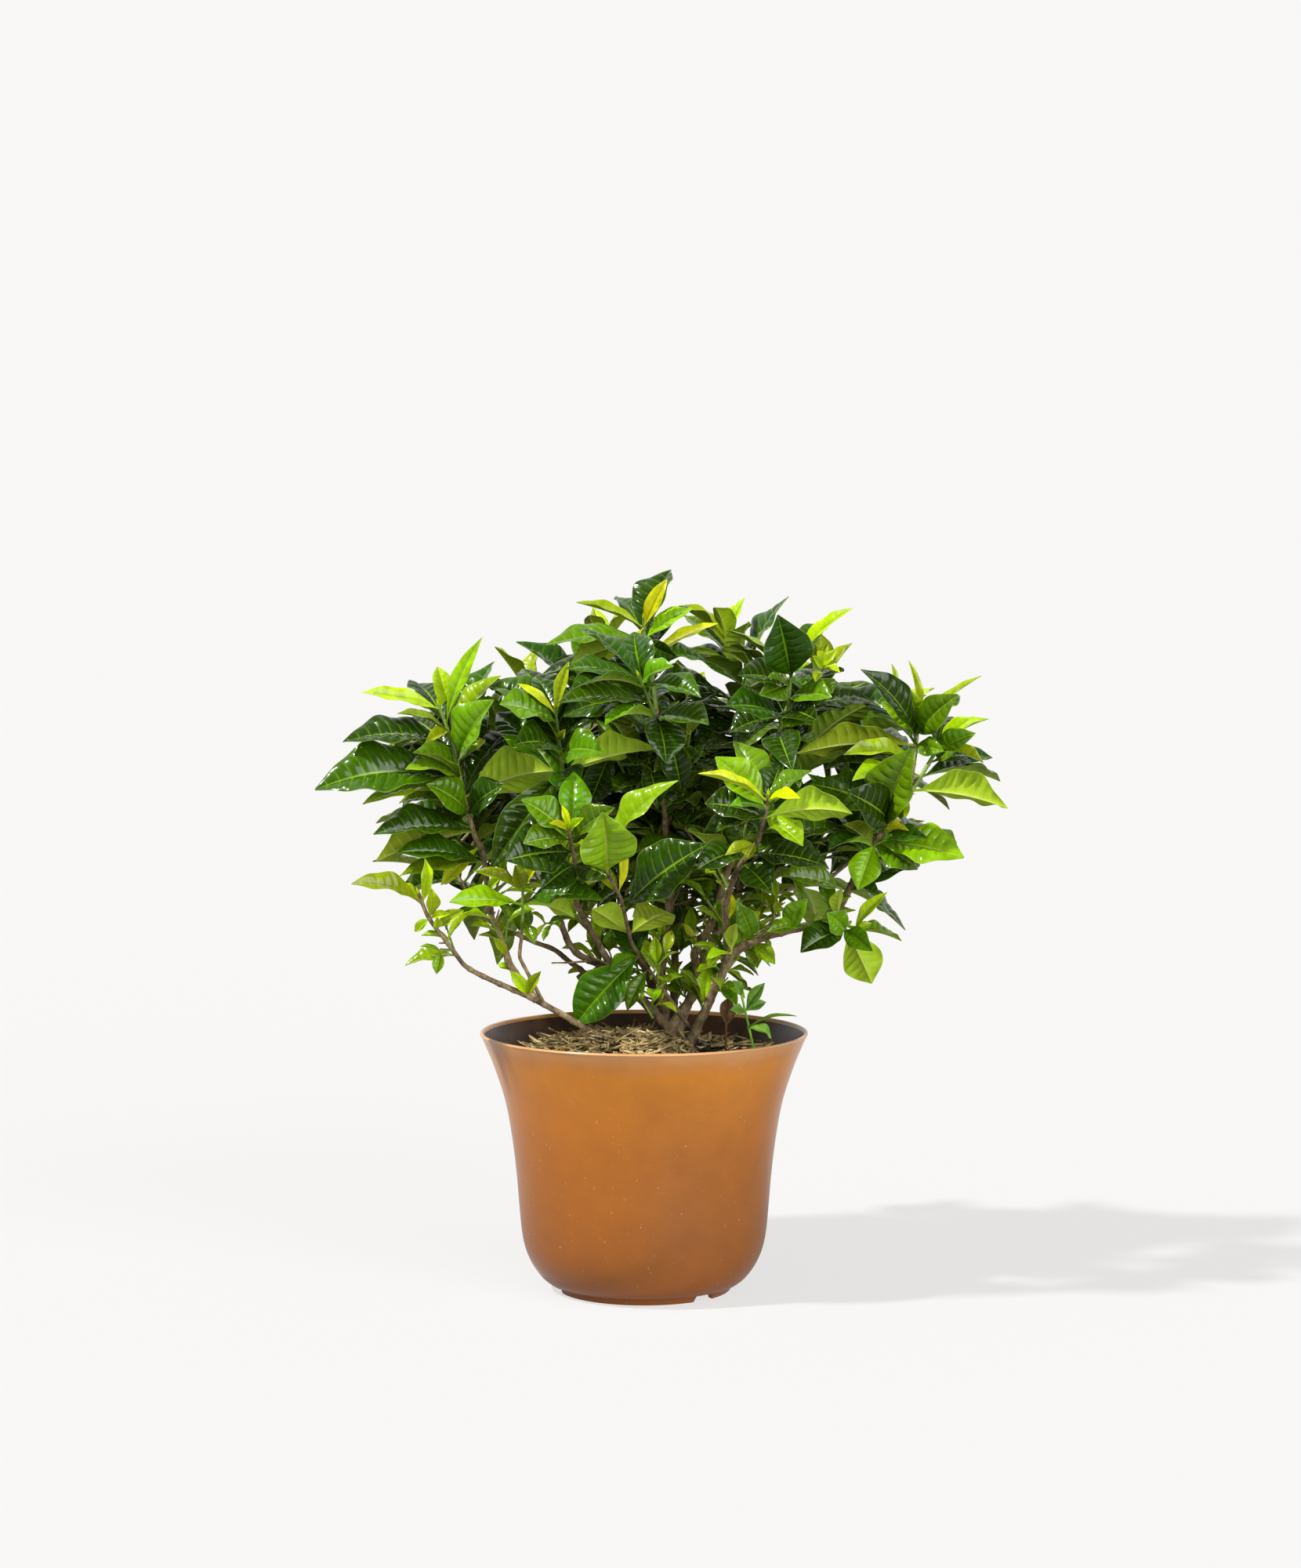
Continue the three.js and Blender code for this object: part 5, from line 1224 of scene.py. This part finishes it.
class Piece:
    """A mesh being put together: points in millimetres, faces, and traits that its finish reads."""

    def __init__(self):
        self.points, self.faces, self.finishes, self.traits = [], [], [], []
        self.count = 0

    def add(self, points, faces, finish=0, **traits):
        """Adds a skin, whose faces count from its own first point."""
        points = np.asarray(points, float).reshape(-1, 3)
        self.points.append(points)
        self.faces.extend([[i + self.count for i in face] for face in faces])
        self.finishes.extend([finish] * len(faces))
        row = [np.broadcast_to(traits.get(name, 0), len(points)) for name in TRAITS]
        self.traits.append(np.stack(row, axis=1))
        self.count += len(points)

    def build(self, name, finishes, slot, *nodes):
        """Makes the object, which rides on the pot and stands for the CAD nodes named."""
        mesh = bpy.data.meshes.new(name)
        mesh.from_pydata((np.concatenate(self.points) * MM).tolist(), [], self.faces)
        for finish in finishes:
            mesh.materials.append(finish)
        mesh.polygons.foreach_set("material_index", self.finishes)
        mesh.polygons.foreach_set("use_smooth", [True] * len(self.faces))
        mesh.set_sharp_from_angle(angle=math.radians(SHARP_EDGE))
        traits = np.concatenate(self.traits)
        for column, trait in enumerate(TRAITS):
            if traits[:, column].any():
                values = mesh.attributes.new(trait, "FLOAT", "POINT").data
                values.foreach_set("value", traits[:, column].astype(np.float32))
        made = bpy.data.objects.new(name, mesh)
        bpy.context.scene.collection.objects.link(made)
        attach(made, "root")
        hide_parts(*nodes)


def tube_faces(rings, sides, capped=True):
    """The faces of a skin of rings, counted from its first point."""
    faces = []
    for i in range(rings - 1):
        for j in range(sides):
            k = (j + 1) % sides
            a, b = i * sides, (i + 1) * sides
            faces.append([a + j, a + k, b + k, b + j])
    if capped:
        last = (rings - 1) * sides
        faces.append([*range(sides - 1, -1, -1)])
        faces.append([*range(last, last + sides)])
    return faces


def blade_faces(rows, columns):
    """A thin blade's upper faces, then its lower faces, then the walls between them."""
    below = rows * columns
    upper, lower, walls = [], [], []
    for i in range(rows - 1):
        for j in range(columns - 1):
            a = i * columns + j
            quad = [a, a + 1, a + columns + 1, a + columns]
            upper.append(quad)
            lower.append([below + corner for corner in reversed(quad)])
    for i in range(rows - 1):
        a, b = i * columns, (i + 1) * columns
        walls.append([a, b, below + b, below + a])
        a, b = a + columns - 1, b + columns - 1
        walls.append([below + a, below + b, b, a])
    for j in range(columns - 1):
        a = (rows - 1) * columns + j
        walls.append([below + j, below + j + 1, j + 1, j])
        walls.append([a, a + 1, below + a + 1, below + a])
    return upper, lower, walls


def both_ways(places):
    """Places across a blade, from one rim to the other, from those of one half."""
    return np.array([*[-v for v in reversed(places)], 0, *places])


# The places of the finishes on a piece of stems and leaves
UPPER, UNDER, STEM, BARK = 0, 1, 2, 3
# A leaf's age runs to this, in the newest growth.
NEWEST = 4

# The fine blade's columns of points, its side veins and its form. Quilt, dome and ripple are parts
# of half the blade's width.
ACROSS = both_ways([0.05, 0.13, 0.26, 0.42, 0.6, 0.78, 0.93, 1])
ACROSS_SMALL = both_ways([0.06, 0.22, 0.5, 0.8, 1])
FEWEST_VEINS = 5.5
VEIN_SPACING = 17
ROWS_PER_VEIN = 4
VEIN_LEAD = 0.15
BLADE_THICK = 0.42
PETIOLE_THICK = 1.7
BROADER = 1.05
SHOULDER = 0.13
QUILT = 0.1
DOME = 0.07
RIPPLE = 0.11
SUNK_MIDRIB = 0.3
KEEL = 0.55


def add_leaf(piece, leaf, small=False, quilted=1.0):
    """A fine blade on the solid one's middle face: quilted between its veins, midrib sunk."""
    veins = FEWEST_VEINS + leaf.length / VEIN_SPACING
    across = (ACROSS_SMALL if small else ACROSS)[None, :]
    out = np.abs(across)
    # Rows of points follow the side veins, which lean towards the tip.
    row = np.append(np.arange(0, 0.98, 1 / (ROWS_PER_VEIN * veins)), 0.988)[:, None]
    rib = veins * row + 0 * across
    along = row + VEIN_LEAD * out**1.25 * np.clip(row * 5, 0, 1) * (1 - row) ** 0.8
    # A grown leaf is broadest a little past its middle.
    shoulder = 0 if leaf.age > 2 else SHOULDER
    broader = BROADER + shoulder * np.exp(-(((along - 0.6) / 0.3) ** 2))
    point, face, half = blade_grid(leaf, along, across * broader)
    half = half[:, :, 0]
    # The blade swells between its side veins, less so in new growth.
    pillow = np.abs(np.sin(np.pi * rib)) ** 0.7
    soft = 0.55 if leaf.age > 2 else 1
    ends = np.clip(along * 6, 0, 1) * np.clip((1 - along) * 5, 0, 1)
    quilt = QUILT * soft * quilted * half * pillow * 4 * out * (1 - out) * ends
    dome = DOME * half * 4 * out * (1 - out)
    wave = np.sin(1.7 * rib + leaf.phase * 2 + np.where(across > 0, 1.7, 0))
    ripple = RIPPLE * half * wave * out**3 * ends
    sunk = -SUNK_MIDRIB * np.exp(-((across * half / 0.8) ** 2)) * ends
    relief = quilt + dome + ripple + sunk
    # It is thickest at its stalk and along its keel, and thins towards the rim.
    stalk = np.clip(1 - (along - 0.02) / 0.12, 0, 1) ** 1.5
    thick = BLADE_THICK * (1 - 0.45 * out**4)
    thick = thick + (PETIOLE_THICK - BLADE_THICK) * stalk * (1 - out**2)
    keel = KEEL * np.exp(-((across * half / 0.75) ** 2)) * (1 - along) ** 0.5
    upper = point + face * (relief + thick / 2)[:, :, None]
    lower = point + face * (relief - thick / 2 - keel)[:, :, None]
    traits = {"across": across + 0 * row, "rib": rib}
    traits = {name: np.concatenate([value.ravel()] * 2) for name, value in traits.items()}
    draw = chance(leaf.seed + 7)
    traits["age"] = (leaf.age + 0.5 * (draw() - 0.5)) / NEWEST
    # The tone of a thicket leaf is lowered here as painted shade.
    traits["tone"] = draw() * leaf.pale
    points = np.concatenate([upper.reshape(-1, 3), lower.reshape(-1, 3)])
    top, under, walls = blade_faces(*rib.shape)
    first = piece.count
    piece.add(points, top, UPPER, **traits)
    for finish, faces in ((UNDER, under), (UPPER, walls)):
        piece.faces.extend([[i + first for i in corner] for corner in faces])
        piece.finishes.extend([finish] * len(faces))


# How high bark reaches up the stout leafy stems, how far apart a stem's joints are, and how far
# apart its rings of points are
BARK_REACH = 388
JOINT_SPACING = 13
STEM_STEP = 2.4


def drawn_at(stem, stop):
    """A point of a stem, where a trunk keeps its slant on its way into the soil."""
    line = stem.line
    if stem.first and stop < line.reach[2]:
        return line.points[2] - heading_at(line, line.reach[2] + 1) * (line.reach[2] - stop)
    return point_at(line, stop)


def add_stem(piece, section, finish, sides=10):
    """A stem with rounded bends, swollen a little at each joint between leaves."""
    stem = section.stem
    line = stem.line
    count = max(3, round((section.high - section.low) / STEM_STEP) + 1)
    stops = np.linspace(section.low, section.high, count)
    centres = np.array([drawn_at(stem, stop) for stop in stops])
    for _ in range(2):
        centres[1:-1] = (centres[:-2] + 2 * centres[1:-1] + centres[2:]) / 4
    axis = level_axis(line)
    rings = []
    for i, stop in enumerate(stops):
        low, high = max(i - 1, 0), min(i + 1, count - 1)
        heading = Vector(centres[high] - centres[low]).normalized()
        side, other = ring_frame(axis, heading)
        thick = stem.thick[0] + (stem.thick[1] - stem.thick[0]) * stop / line.length
        joint = max(0, math.cos(stop / JOINT_SPACING * math.tau)) ** 6
        swell = 1 + (0.14 if finish == BARK else 0.2) * joint
        for j in range(sides):
            angle = math.tau * j / sides
            out = side * math.cos(angle) + other * math.sin(angle)
            rough = noise.noise(Vector(centres[i]) * 0.16 + out * 1.6) if finish == BARK else 0
            rings.append(centres[i] + np.array(out) * thick * swell * (1 + 0.22 * rough))
    faces = tube_faces(count, sides)
    piece.add(rings, faces, finish, tone=chance(round(line.length))())
    if finish == STEM and is_stout(stem):
        barked = sides * int((centres[:-1, 2] < BARK_REACH).sum())
        first = len(piece.finishes) - len(faces)
        piece.finishes[first : first + barked] = [BARK] * barked


# A bud's outline: part of its length from the shoot's end, and part of its width
BUD = [(-0.3, 0.5), (-0.05, 0.85), (0.15, 1), (0.4, 0.85), (0.65, 0.5), (0.85, 0.22), (1, 0.05)]
BUD_SIDES = 8
BUD_AGE = 3.2


def add_bud(piece, tip, heading, wide):
    """A pointed bud that ends a shoot, four times as long as the shoot is thick."""
    side, other = ring_frame(Vector((1, 0, 0)), heading)
    long = 4 * wide
    rings = []
    for k, part in BUD:
        for j in range(BUD_SIDES):
            angle = math.tau * j / BUD_SIDES
            out = side * math.cos(angle) + other * math.sin(angle)
            rings.append(tip + heading * long * k + out * wide * part)
    faces = tube_faces(len(BUD), BUD_SIDES)
    piece.add(rings, faces, UPPER, across=0.5, rib=0.5, age=BUD_AGE / NEWEST, tone=0.5)


# Pot: its profile as [radius, height], from the middle of its underside round to its floor

POT_OUTSIDE = [
    (74, 6.4), (79.5, 11), (85.5, 19), (90, 28), (93, 38), (94.8, 50), (96.2, 66), (98.4, 92),
    (102, 121), (107, 147.5), (114.8, 172), (121.2, 188), (125.4, 197.4),
]
POT_INSIDE = [
    (122.6, 197), (118, 187), (112.4, 172), (108.6, 165), (100, 126), (93.6, 72), (86, 31),
    (75, 12.5),
]
FOOT = [
    (0, 0), (19.4, 0), (20, 0.6), (22, 5), (61.5, 5), (62.1, 0.6), (62.8, 0), (66.2, 0),
    (66.9, 0.6), (68.6, 5.6),
]
LIP = [(126, 198.2), (125.8, 199.2), (125, 199.7), (124, 199.6), (123.2, 198.8)]
POT_FLOOR = [(70, 9.7), (0, 9.4)]
NOTCH_WIDTH = 18
NOTCH_HEIGHT = 4.2
NOTCH_ANGLES = (-47, 73, 193)
NOTCH_START = 61
POT_SIDES = 240


def smooth_line(points, parts=5):
    """A smooth line through points, with a few steps between each two."""
    points = np.array(points, float)
    ends = [2 * points[0] - points[1], *points, 2 * points[-1] - points[-2]]
    line = []
    for a, b, c, d in zip(ends, ends[1:], ends[2:], ends[3:]):
        for t in np.arange(parts) / parts:
            line.append(
                0.5 * (2 * b + (c - a) * t + (2 * a - 5 * b + 4 * c - d) * t**2
                       + (3 * b - a - 3 * c + d) * t**3)
            )
    return [*line, points[-1]]


def add_lathe(piece, profile, sides):
    """Turns a profile that starts and ends on the axis."""
    inner = profile[1:-1]
    points = [[0, 0, profile[0][1]]]
    for radius, up in inner:
        for j in range(sides):
            angle = math.tau * j / sides
            points.append([radius * math.cos(angle), radius * math.sin(angle), up])
    points.append([0, 0, profile[-1][1]])
    faces = [[1 + i for i in face] for face in tube_faces(len(inner), sides, capped=False)]
    last = len(points) - 1
    for j in range(sides):
        k = (j + 1) % sides
        faces.append([0, 1 + k, 1 + j])
        faces.append([last, last - sides + j, last - sides + k])
    piece.add(points, faces)
    return piece.points[-1]


def make_pot():
    """The shell, with its three drainage notches pressed up into the foot ring."""
    piece = Piece()
    outer = [*FOOT, *smooth_line(POT_OUTSIDE), *LIP]
    points = add_lathe(piece, [*outer, *smooth_line(POT_INSIDE), *POT_FLOOR], POT_SIDES)
    # The inside takes the dark finish: soil stain and painted shade.
    stained_shaded_start = (len(outer) - 1) * POT_SIDES
    piece.finishes[stained_shaded_start:] = [1] * (len(piece.finishes) - stained_shaded_start)
    out = np.hypot(points[:, 0], points[:, 1])
    for angle in NOTCH_ANGLES:
        way = np.array([math.cos(math.radians(angle)), math.sin(math.radians(angle))])
        ahead = points[:, :2] @ way
        aside = np.abs(points[:, 0] * way[1] - points[:, 1] * way[0])
        inside = (ahead > 0) & (aside < NOTCH_WIDTH / 2) & (out > NOTCH_START)
        inside &= points[:, 2] < NOTCH_HEIGHT
        points[inside, 2] = NOTCH_HEIGHT
    piece.build("pot_shell", [PLASTIC, STAINED_SHADED_PLASTIC], "pot", "pot")


# Soil and mulch

SOIL_LEVEL = 190.5
SOIL_FALL = 0.00095
SOIL_DIP = 0.11
SOIL_GAP = 0.6
SOIL_SIDES = 150
SOIL_RINGS = 52
SOIL_WALL = (160, 110, 60, 31, 13.5)
SOIL_BOTTOM = 13
CRUMBS = 1100
CRUMB_REACH = 104
CRUMB_SIDES = 6
# A crumb's rings, and the outline across a strand of bark: part of its width and of its thickness
CRUMB_RINGS = [(-0.9, 0.35), (-0.3, 0.95), (0.35, 0.9), (0.85, 0.35)]
STRAND_OUTLINE = [(-1, 0.2), (-0.4, 1), (0.5, 0.9), (1, 0), (0.3, -1), (-0.6, -0.8)]
STRAND_RINGS = 7
STRANDS = 960
MULCH_ANGLES = (84, 298)
BARE_ANGLES = (-62, 84)
HEAP_HEIGHT = 12
HEAP_MIDDLE = (-30, -38)
HEAP_REACH = (48, 40)


def soil_top(x, y):
    """Height of the soil: heaped in the middle, lowest at the left wall and gently uneven."""
    out = np.hypot(x, y)
    uneven = 0.9 * np.sin(x / 17 + 1) + 0.8 * np.sin(y / 15 + x / 31)
    return SOIL_LEVEL - out * out * SOIL_FALL - np.maximum(0, -x - 58) * SOIL_DIP + uneven


def pot_inside(up):
    """The radius of the pot's inside at a height."""
    line = sorted((z, r) for r, z in POT_INSIDE)
    return float(np.interp(up, [z for z, _ in line], [r for _, r in line]))


def wall_radius(angle):
    """How far the soil reaches at an angle, just short of the pot's wall."""
    radius = 112
    for _ in range(5):
        top = soil_top(radius * math.cos(angle), radius * math.sin(angle))
        radius = pot_inside(top) - SOIL_GAP
    return radius


def make_soil():
    """Lumpy compost with crumbs on it, filling the pot."""
    piece = Piece()
    sides = SOIL_SIDES
    points = [[0, 0, float(soil_top(0, 0))]]
    for i in range(1, SOIL_RINGS + 1):
        for j in range(sides):
            angle = math.tau * j / sides
            radius = wall_radius(angle) * i / SOIL_RINGS
            x, y = radius * math.cos(angle), radius * math.sin(angle)
            lumps = 1.5 * noise.fractal(Vector((x, y, 0)) * 0.13, 1, 2, 4)
            fade = min(1, (SOIL_RINGS - i) / 3)
            points.append([x, y, float(soil_top(x, y)) + lumps * fade])
    for up in SOIL_WALL:
        radius = pot_inside(up) - SOIL_GAP
        for j in range(sides):
            angle = math.tau * j / sides
            points.append([radius * math.cos(angle), radius * math.sin(angle), up])
    points.append([0, 0, SOIL_BOTTOM])
    rows = SOIL_RINGS + len(SOIL_WALL)
    faces = [[1 + i for i in reversed(face)] for face in tube_faces(rows, sides, capped=False)]
    last = len(points) - 1
    for j in range(sides):
        k = (j + 1) % sides
        faces.append([0, 1 + j, 1 + k])
        faces.append([last, last - sides + k, last - sides + j])
    piece.add(points, faces, tone=0.5)
    draw = chance(31)
    for _ in range(CRUMBS):
        angle = math.tau * draw()
        out = CRUMB_REACH * math.sqrt(draw())
        add_crumb(piece, out * math.cos(angle), out * math.sin(angle), 0.7 + 2.1 * draw() ** 3, draw)
    piece.build("compost", [WET_COMPOST], "soil", "soil")


def add_crumb(piece, x, y, radius, draw):
    """An uneven crumb, half sunk in the soil."""
    rings = []
    turn = math.tau * draw()
    for up, part in CRUMB_RINGS:
        for j in range(CRUMB_SIDES):
            angle = turn + math.tau * j / CRUMB_SIDES
            reach = radius * part * (0.7 + 0.6 * draw())
            rings.append([
                x + reach * math.cos(angle), y + reach * math.sin(angle),
                float(soil_top(x, y)) + radius * (up * (0.7 + 0.4 * draw()) + 0.35),
            ])
    piece.add(rings, tube_faces(len(CRUMB_RINGS), CRUMB_SIDES), tone=draw())


def heap(x, y):
    """How high the shredded bark is heaped on the soil."""
    across, deep = (x - HEAP_MIDDLE[0]) / HEAP_REACH[0], (y - HEAP_MIDDLE[1]) / HEAP_REACH[1]
    return HEAP_HEIGHT * math.exp(-(across**2 + deep**2) / 2)


def make_mulch():
    """Shredded bark: split, tapered strands that lie every way on the left of the soil."""
    piece = Piece()
    draw = chance(4243)
    for i in range(STRANDS):
        # One strand in nine has strayed onto the bare soil.
        low, high = BARE_ANGLES if i % 9 == 0 else MULCH_ANGLES
        angle = math.radians(low + (high - low) * draw())
        # The mulch stops short of the pot's wall, and shorter on the left.
        bare = 16 * max(0, -math.cos(angle))
        out = 6 + (wall_radius(angle) - 12 - bare) * math.sqrt(draw())
        x, y = out * math.cos(angle), out * math.sin(angle)
        long = 8 + 26 * draw() ** 2
        wide = 1.2 + 3.4 * draw() ** 2
        thick = 0.6 + 1.2 * draw()
        way = math.tau * draw()
        tilt = 0.9 * (draw() - 0.5)
        lift = 0.6 + heap(x, y) * draw() ** 0.5 + 4 * draw() ** 1.4
        bend = 0.35 * (draw() - 0.5)
        rings = []
        for k in np.linspace(-0.5, 0.5, STRAND_RINGS):
            turned = way + bend * k * 2
            ahead = np.array([math.cos(turned), math.sin(turned), tilt])
            side = np.array([-math.sin(turned), math.cos(turned), 0.4 * (draw() - 0.5)])
            middle = np.array([x, y, float(soil_top(x, y)) + lift]) + ahead * long * k
            middle[2] = max(middle[2], float(soil_top(middle[0], middle[1])) + 0.7)
            taper = (1 - (2 * abs(k)) ** 3 * 0.75) * (0.75 + 0.5 * draw())
            for across, up in STRAND_OUTLINE:
                rings.append(middle + side * wide / 2 * across * taper
                             + np.array([0, 0, thick / 2 * up * (0.7 + 0.6 * draw())]))
        reach = max(math.hypot(point[0], point[1]) for point in rings)
        if reach < wall_radius(angle) - 1:
            piece.add(rings, tube_faces(STRAND_RINGS, len(STRAND_OUTLINE)), tone=draw())
    piece.build("shredded_bark", [DRY_SHREDDED_BARK], "mulch", "mulch")


# Plant


# For each kind of CAD node on the plant, the name of its pieces and their material slot
KINDS = {
    "leaves": ("foliage", "leaf"), "young": ("tips", "young_leaf"), "wood": ("branch", "bark")
}


def make_foliage():
    """One piece for every CAD node of stems and leaves, from the leaves found in it."""
    nodes = {}
    for section in SECTIONS:
        nodes.setdefault(section.node, []).append(section)
    for node, sections in nodes.items():
        kind, _, rest = node.partition("_")
        if kind not in KINDS:
            continue
        name, slot = KINDS[kind]
        piece = Piece()
        for section in sections:
            add_stem(piece, section, BARK if section.bark else STEM)
            for leaf in section.leaves:
                add_leaf(piece, leaf, small=leaf.length < 24 or leaf.seed >= RULE_SEED)
            line = section.stem.line
            if section.high > line.length - 1 and not section.bark:
                heading = heading_at(line, line.length)
                add_bud(piece, line.points[-1], heading, section.stem.thick[1])
        finishes = [WAXED_LEAF, MATTE_UNDERSIDE, GREEN_STEM, GREY_BARK]
        piece.build(f"{name}_{rest}", finishes, slot, node)


def make_small(node, name, finish, slot, quilted):
    """The seedling, or the dead leaf, in one finish all over."""
    piece = Piece()
    for section in SECTIONS:
        if section.node == node:
            add_stem(piece, section, UPPER, sides=8)
            for leaf in section.leaves:
                add_leaf(piece, leaf, small=True, quilted=quilted)
    piece.build(name, [finish, finish], slot, node)


make_pot()
make_soil()
make_mulch()
make_foliage()
make_small("weed", "seedling", SEEDLING_LEAF, "weed", 0.5)
make_small("dead_leaf", "fallen_leaf", DRY_LEAF, "dead_leaf", 1.6)


# Camera, floor and light


def aim(made, place, target):
    """Puts a camera or lamp at a place, in metres, looking at a target."""
    made.location = place
    made.rotation_euler = (Vector(target) - Vector(place)).to_track_quat("-Z", "Y").to_euler()
    bpy.context.scene.collection.objects.link(made)


SENSOR_WIDTH = 36
FOCAL_LENGTH = 84.2
FRAME_MIDDLE = (0.005, 0, 0.390)
lens = bpy.data.cameras.new("camera")
lens.sensor_width, lens.lens = SENSOR_WIDTH, FOCAL_LENGTH
camera = bpy.data.objects.new("camera", lens)
aim(camera, EYE * MM, FRAME_MIDDLE)
bpy.context.scene.camera = camera


def add_lamp(name, place, power, spread, tint):
    """A far lamp: the wider its spread, the softer its shadows."""
    light = bpy.data.lights.new(name, "SUN")
    light.energy, light.angle, light.color = power, math.radians(spread), colour(tint)[:3]
    aim(bpy.data.objects.new(name, light), place, (0, 0, 0.25))


add_lamp("key", (-2.0, -0.9, 2.9), 3.75, 4, "#fffdfa")
add_lamp("fill", (1.8, -2.7, 1.3), 2.4, 50, "#fbfcff")


def seen_or_mirrored(tree, place, behind, otherwise, bright):
    """A glow that is bright to the camera, and to gloss where it lies behind the plant."""
    ray = put(tree, "LightPath").outputs
    back = put(tree, "SeparateXYZ", {"Vector": place}).outputs["Y"]
    back = put(tree, "MapRange", {"Value": back, "From Min": behind[0], "From Max": behind[1]})
    mirrored = put(tree, "Math", {0: back, 1: ray["Is Glossy Ray"]}, operation="MULTIPLY")
    shown = put(tree, "Math", {0: ray["Is Camera Ray"], 1: mirrored}, operation="MAXIMUM")
    return put(tree, "Mix", {"Factor": shown, "A": otherwise, "B": bright})


FLOOR_BOUNCE = 0.22
FLOOR_GLOW = 0.735
BACKDROP_GLOW = 0.97
FLOOR_REACH = 14
floor_mesh = bpy.data.meshes.new("floor")
corners = [(x * FLOOR_REACH, y * FLOOR_REACH, 0) for x, y in ((-1, -1), (1, -1), (1, 1), (-1, 1))]
floor_mesh.from_pydata(corners, [], [(0, 1, 2, 3)])
floor = bpy.data.objects.new("floor", floor_mesh)
bpy.context.scene.collection.objects.link(floor)
paper, paper_tree = new_finish("white_paper")
# The paper is seen evenly bright, as on a lit table. Gloss mirrors it where it lies behind the
# plant, and little of its light comes back otherwise.
place = put(paper_tree, "TexCoord").outputs["Object"]
glow = seen_or_mirrored(paper_tree, place, (0.1, 1.0), FLOOR_BOUNCE, FLOOR_GLOW)
surface = put(paper_tree, "BsdfPrincipled", {
    "Base Color": colour("#767677"), "Roughness": 1.0, "Specular IOR Level": 0.0,
    "Emission Color": colour("#f9f8f6"), "Emission Strength": glow,
})
put(paper_tree, "OutputMaterial", {"Surface": surface})
floor_mesh.materials.append(paper)

sky = bpy.data.worlds.new("studio")
bpy.context.scene.world = sky
sky.use_nodes = True
sky.node_tree.nodes.clear()
# The studio is bright overhead and dim at the sides, in front of a pale backdrop.
sky_tree = sky.node_tree
way = put(sky_tree, "TexCoord").outputs["Generated"]
up = put(sky_tree, "SeparateXYZ", {"Vector": way}).outputs["Z"]
overhead = put(
    sky_tree, "MapRange",
    {"Value": up, "From Min": -0.1, "From Max": 0.9, "To Min": 0.1, "To Max": 0.26},
    interpolation_type="SMOOTHSTEP",
)
glow = seen_or_mirrored(sky_tree, way, (0.0, 0.5), overhead, BACKDROP_GLOW)
room = put(sky_tree, "Background", {"Color": colour("#fcfbf9"), "Strength": glow})
put(sky_tree, "OutputWorld", {"Surface": room})
bpy.context.scene.view_settings.view_transform = "Standard"
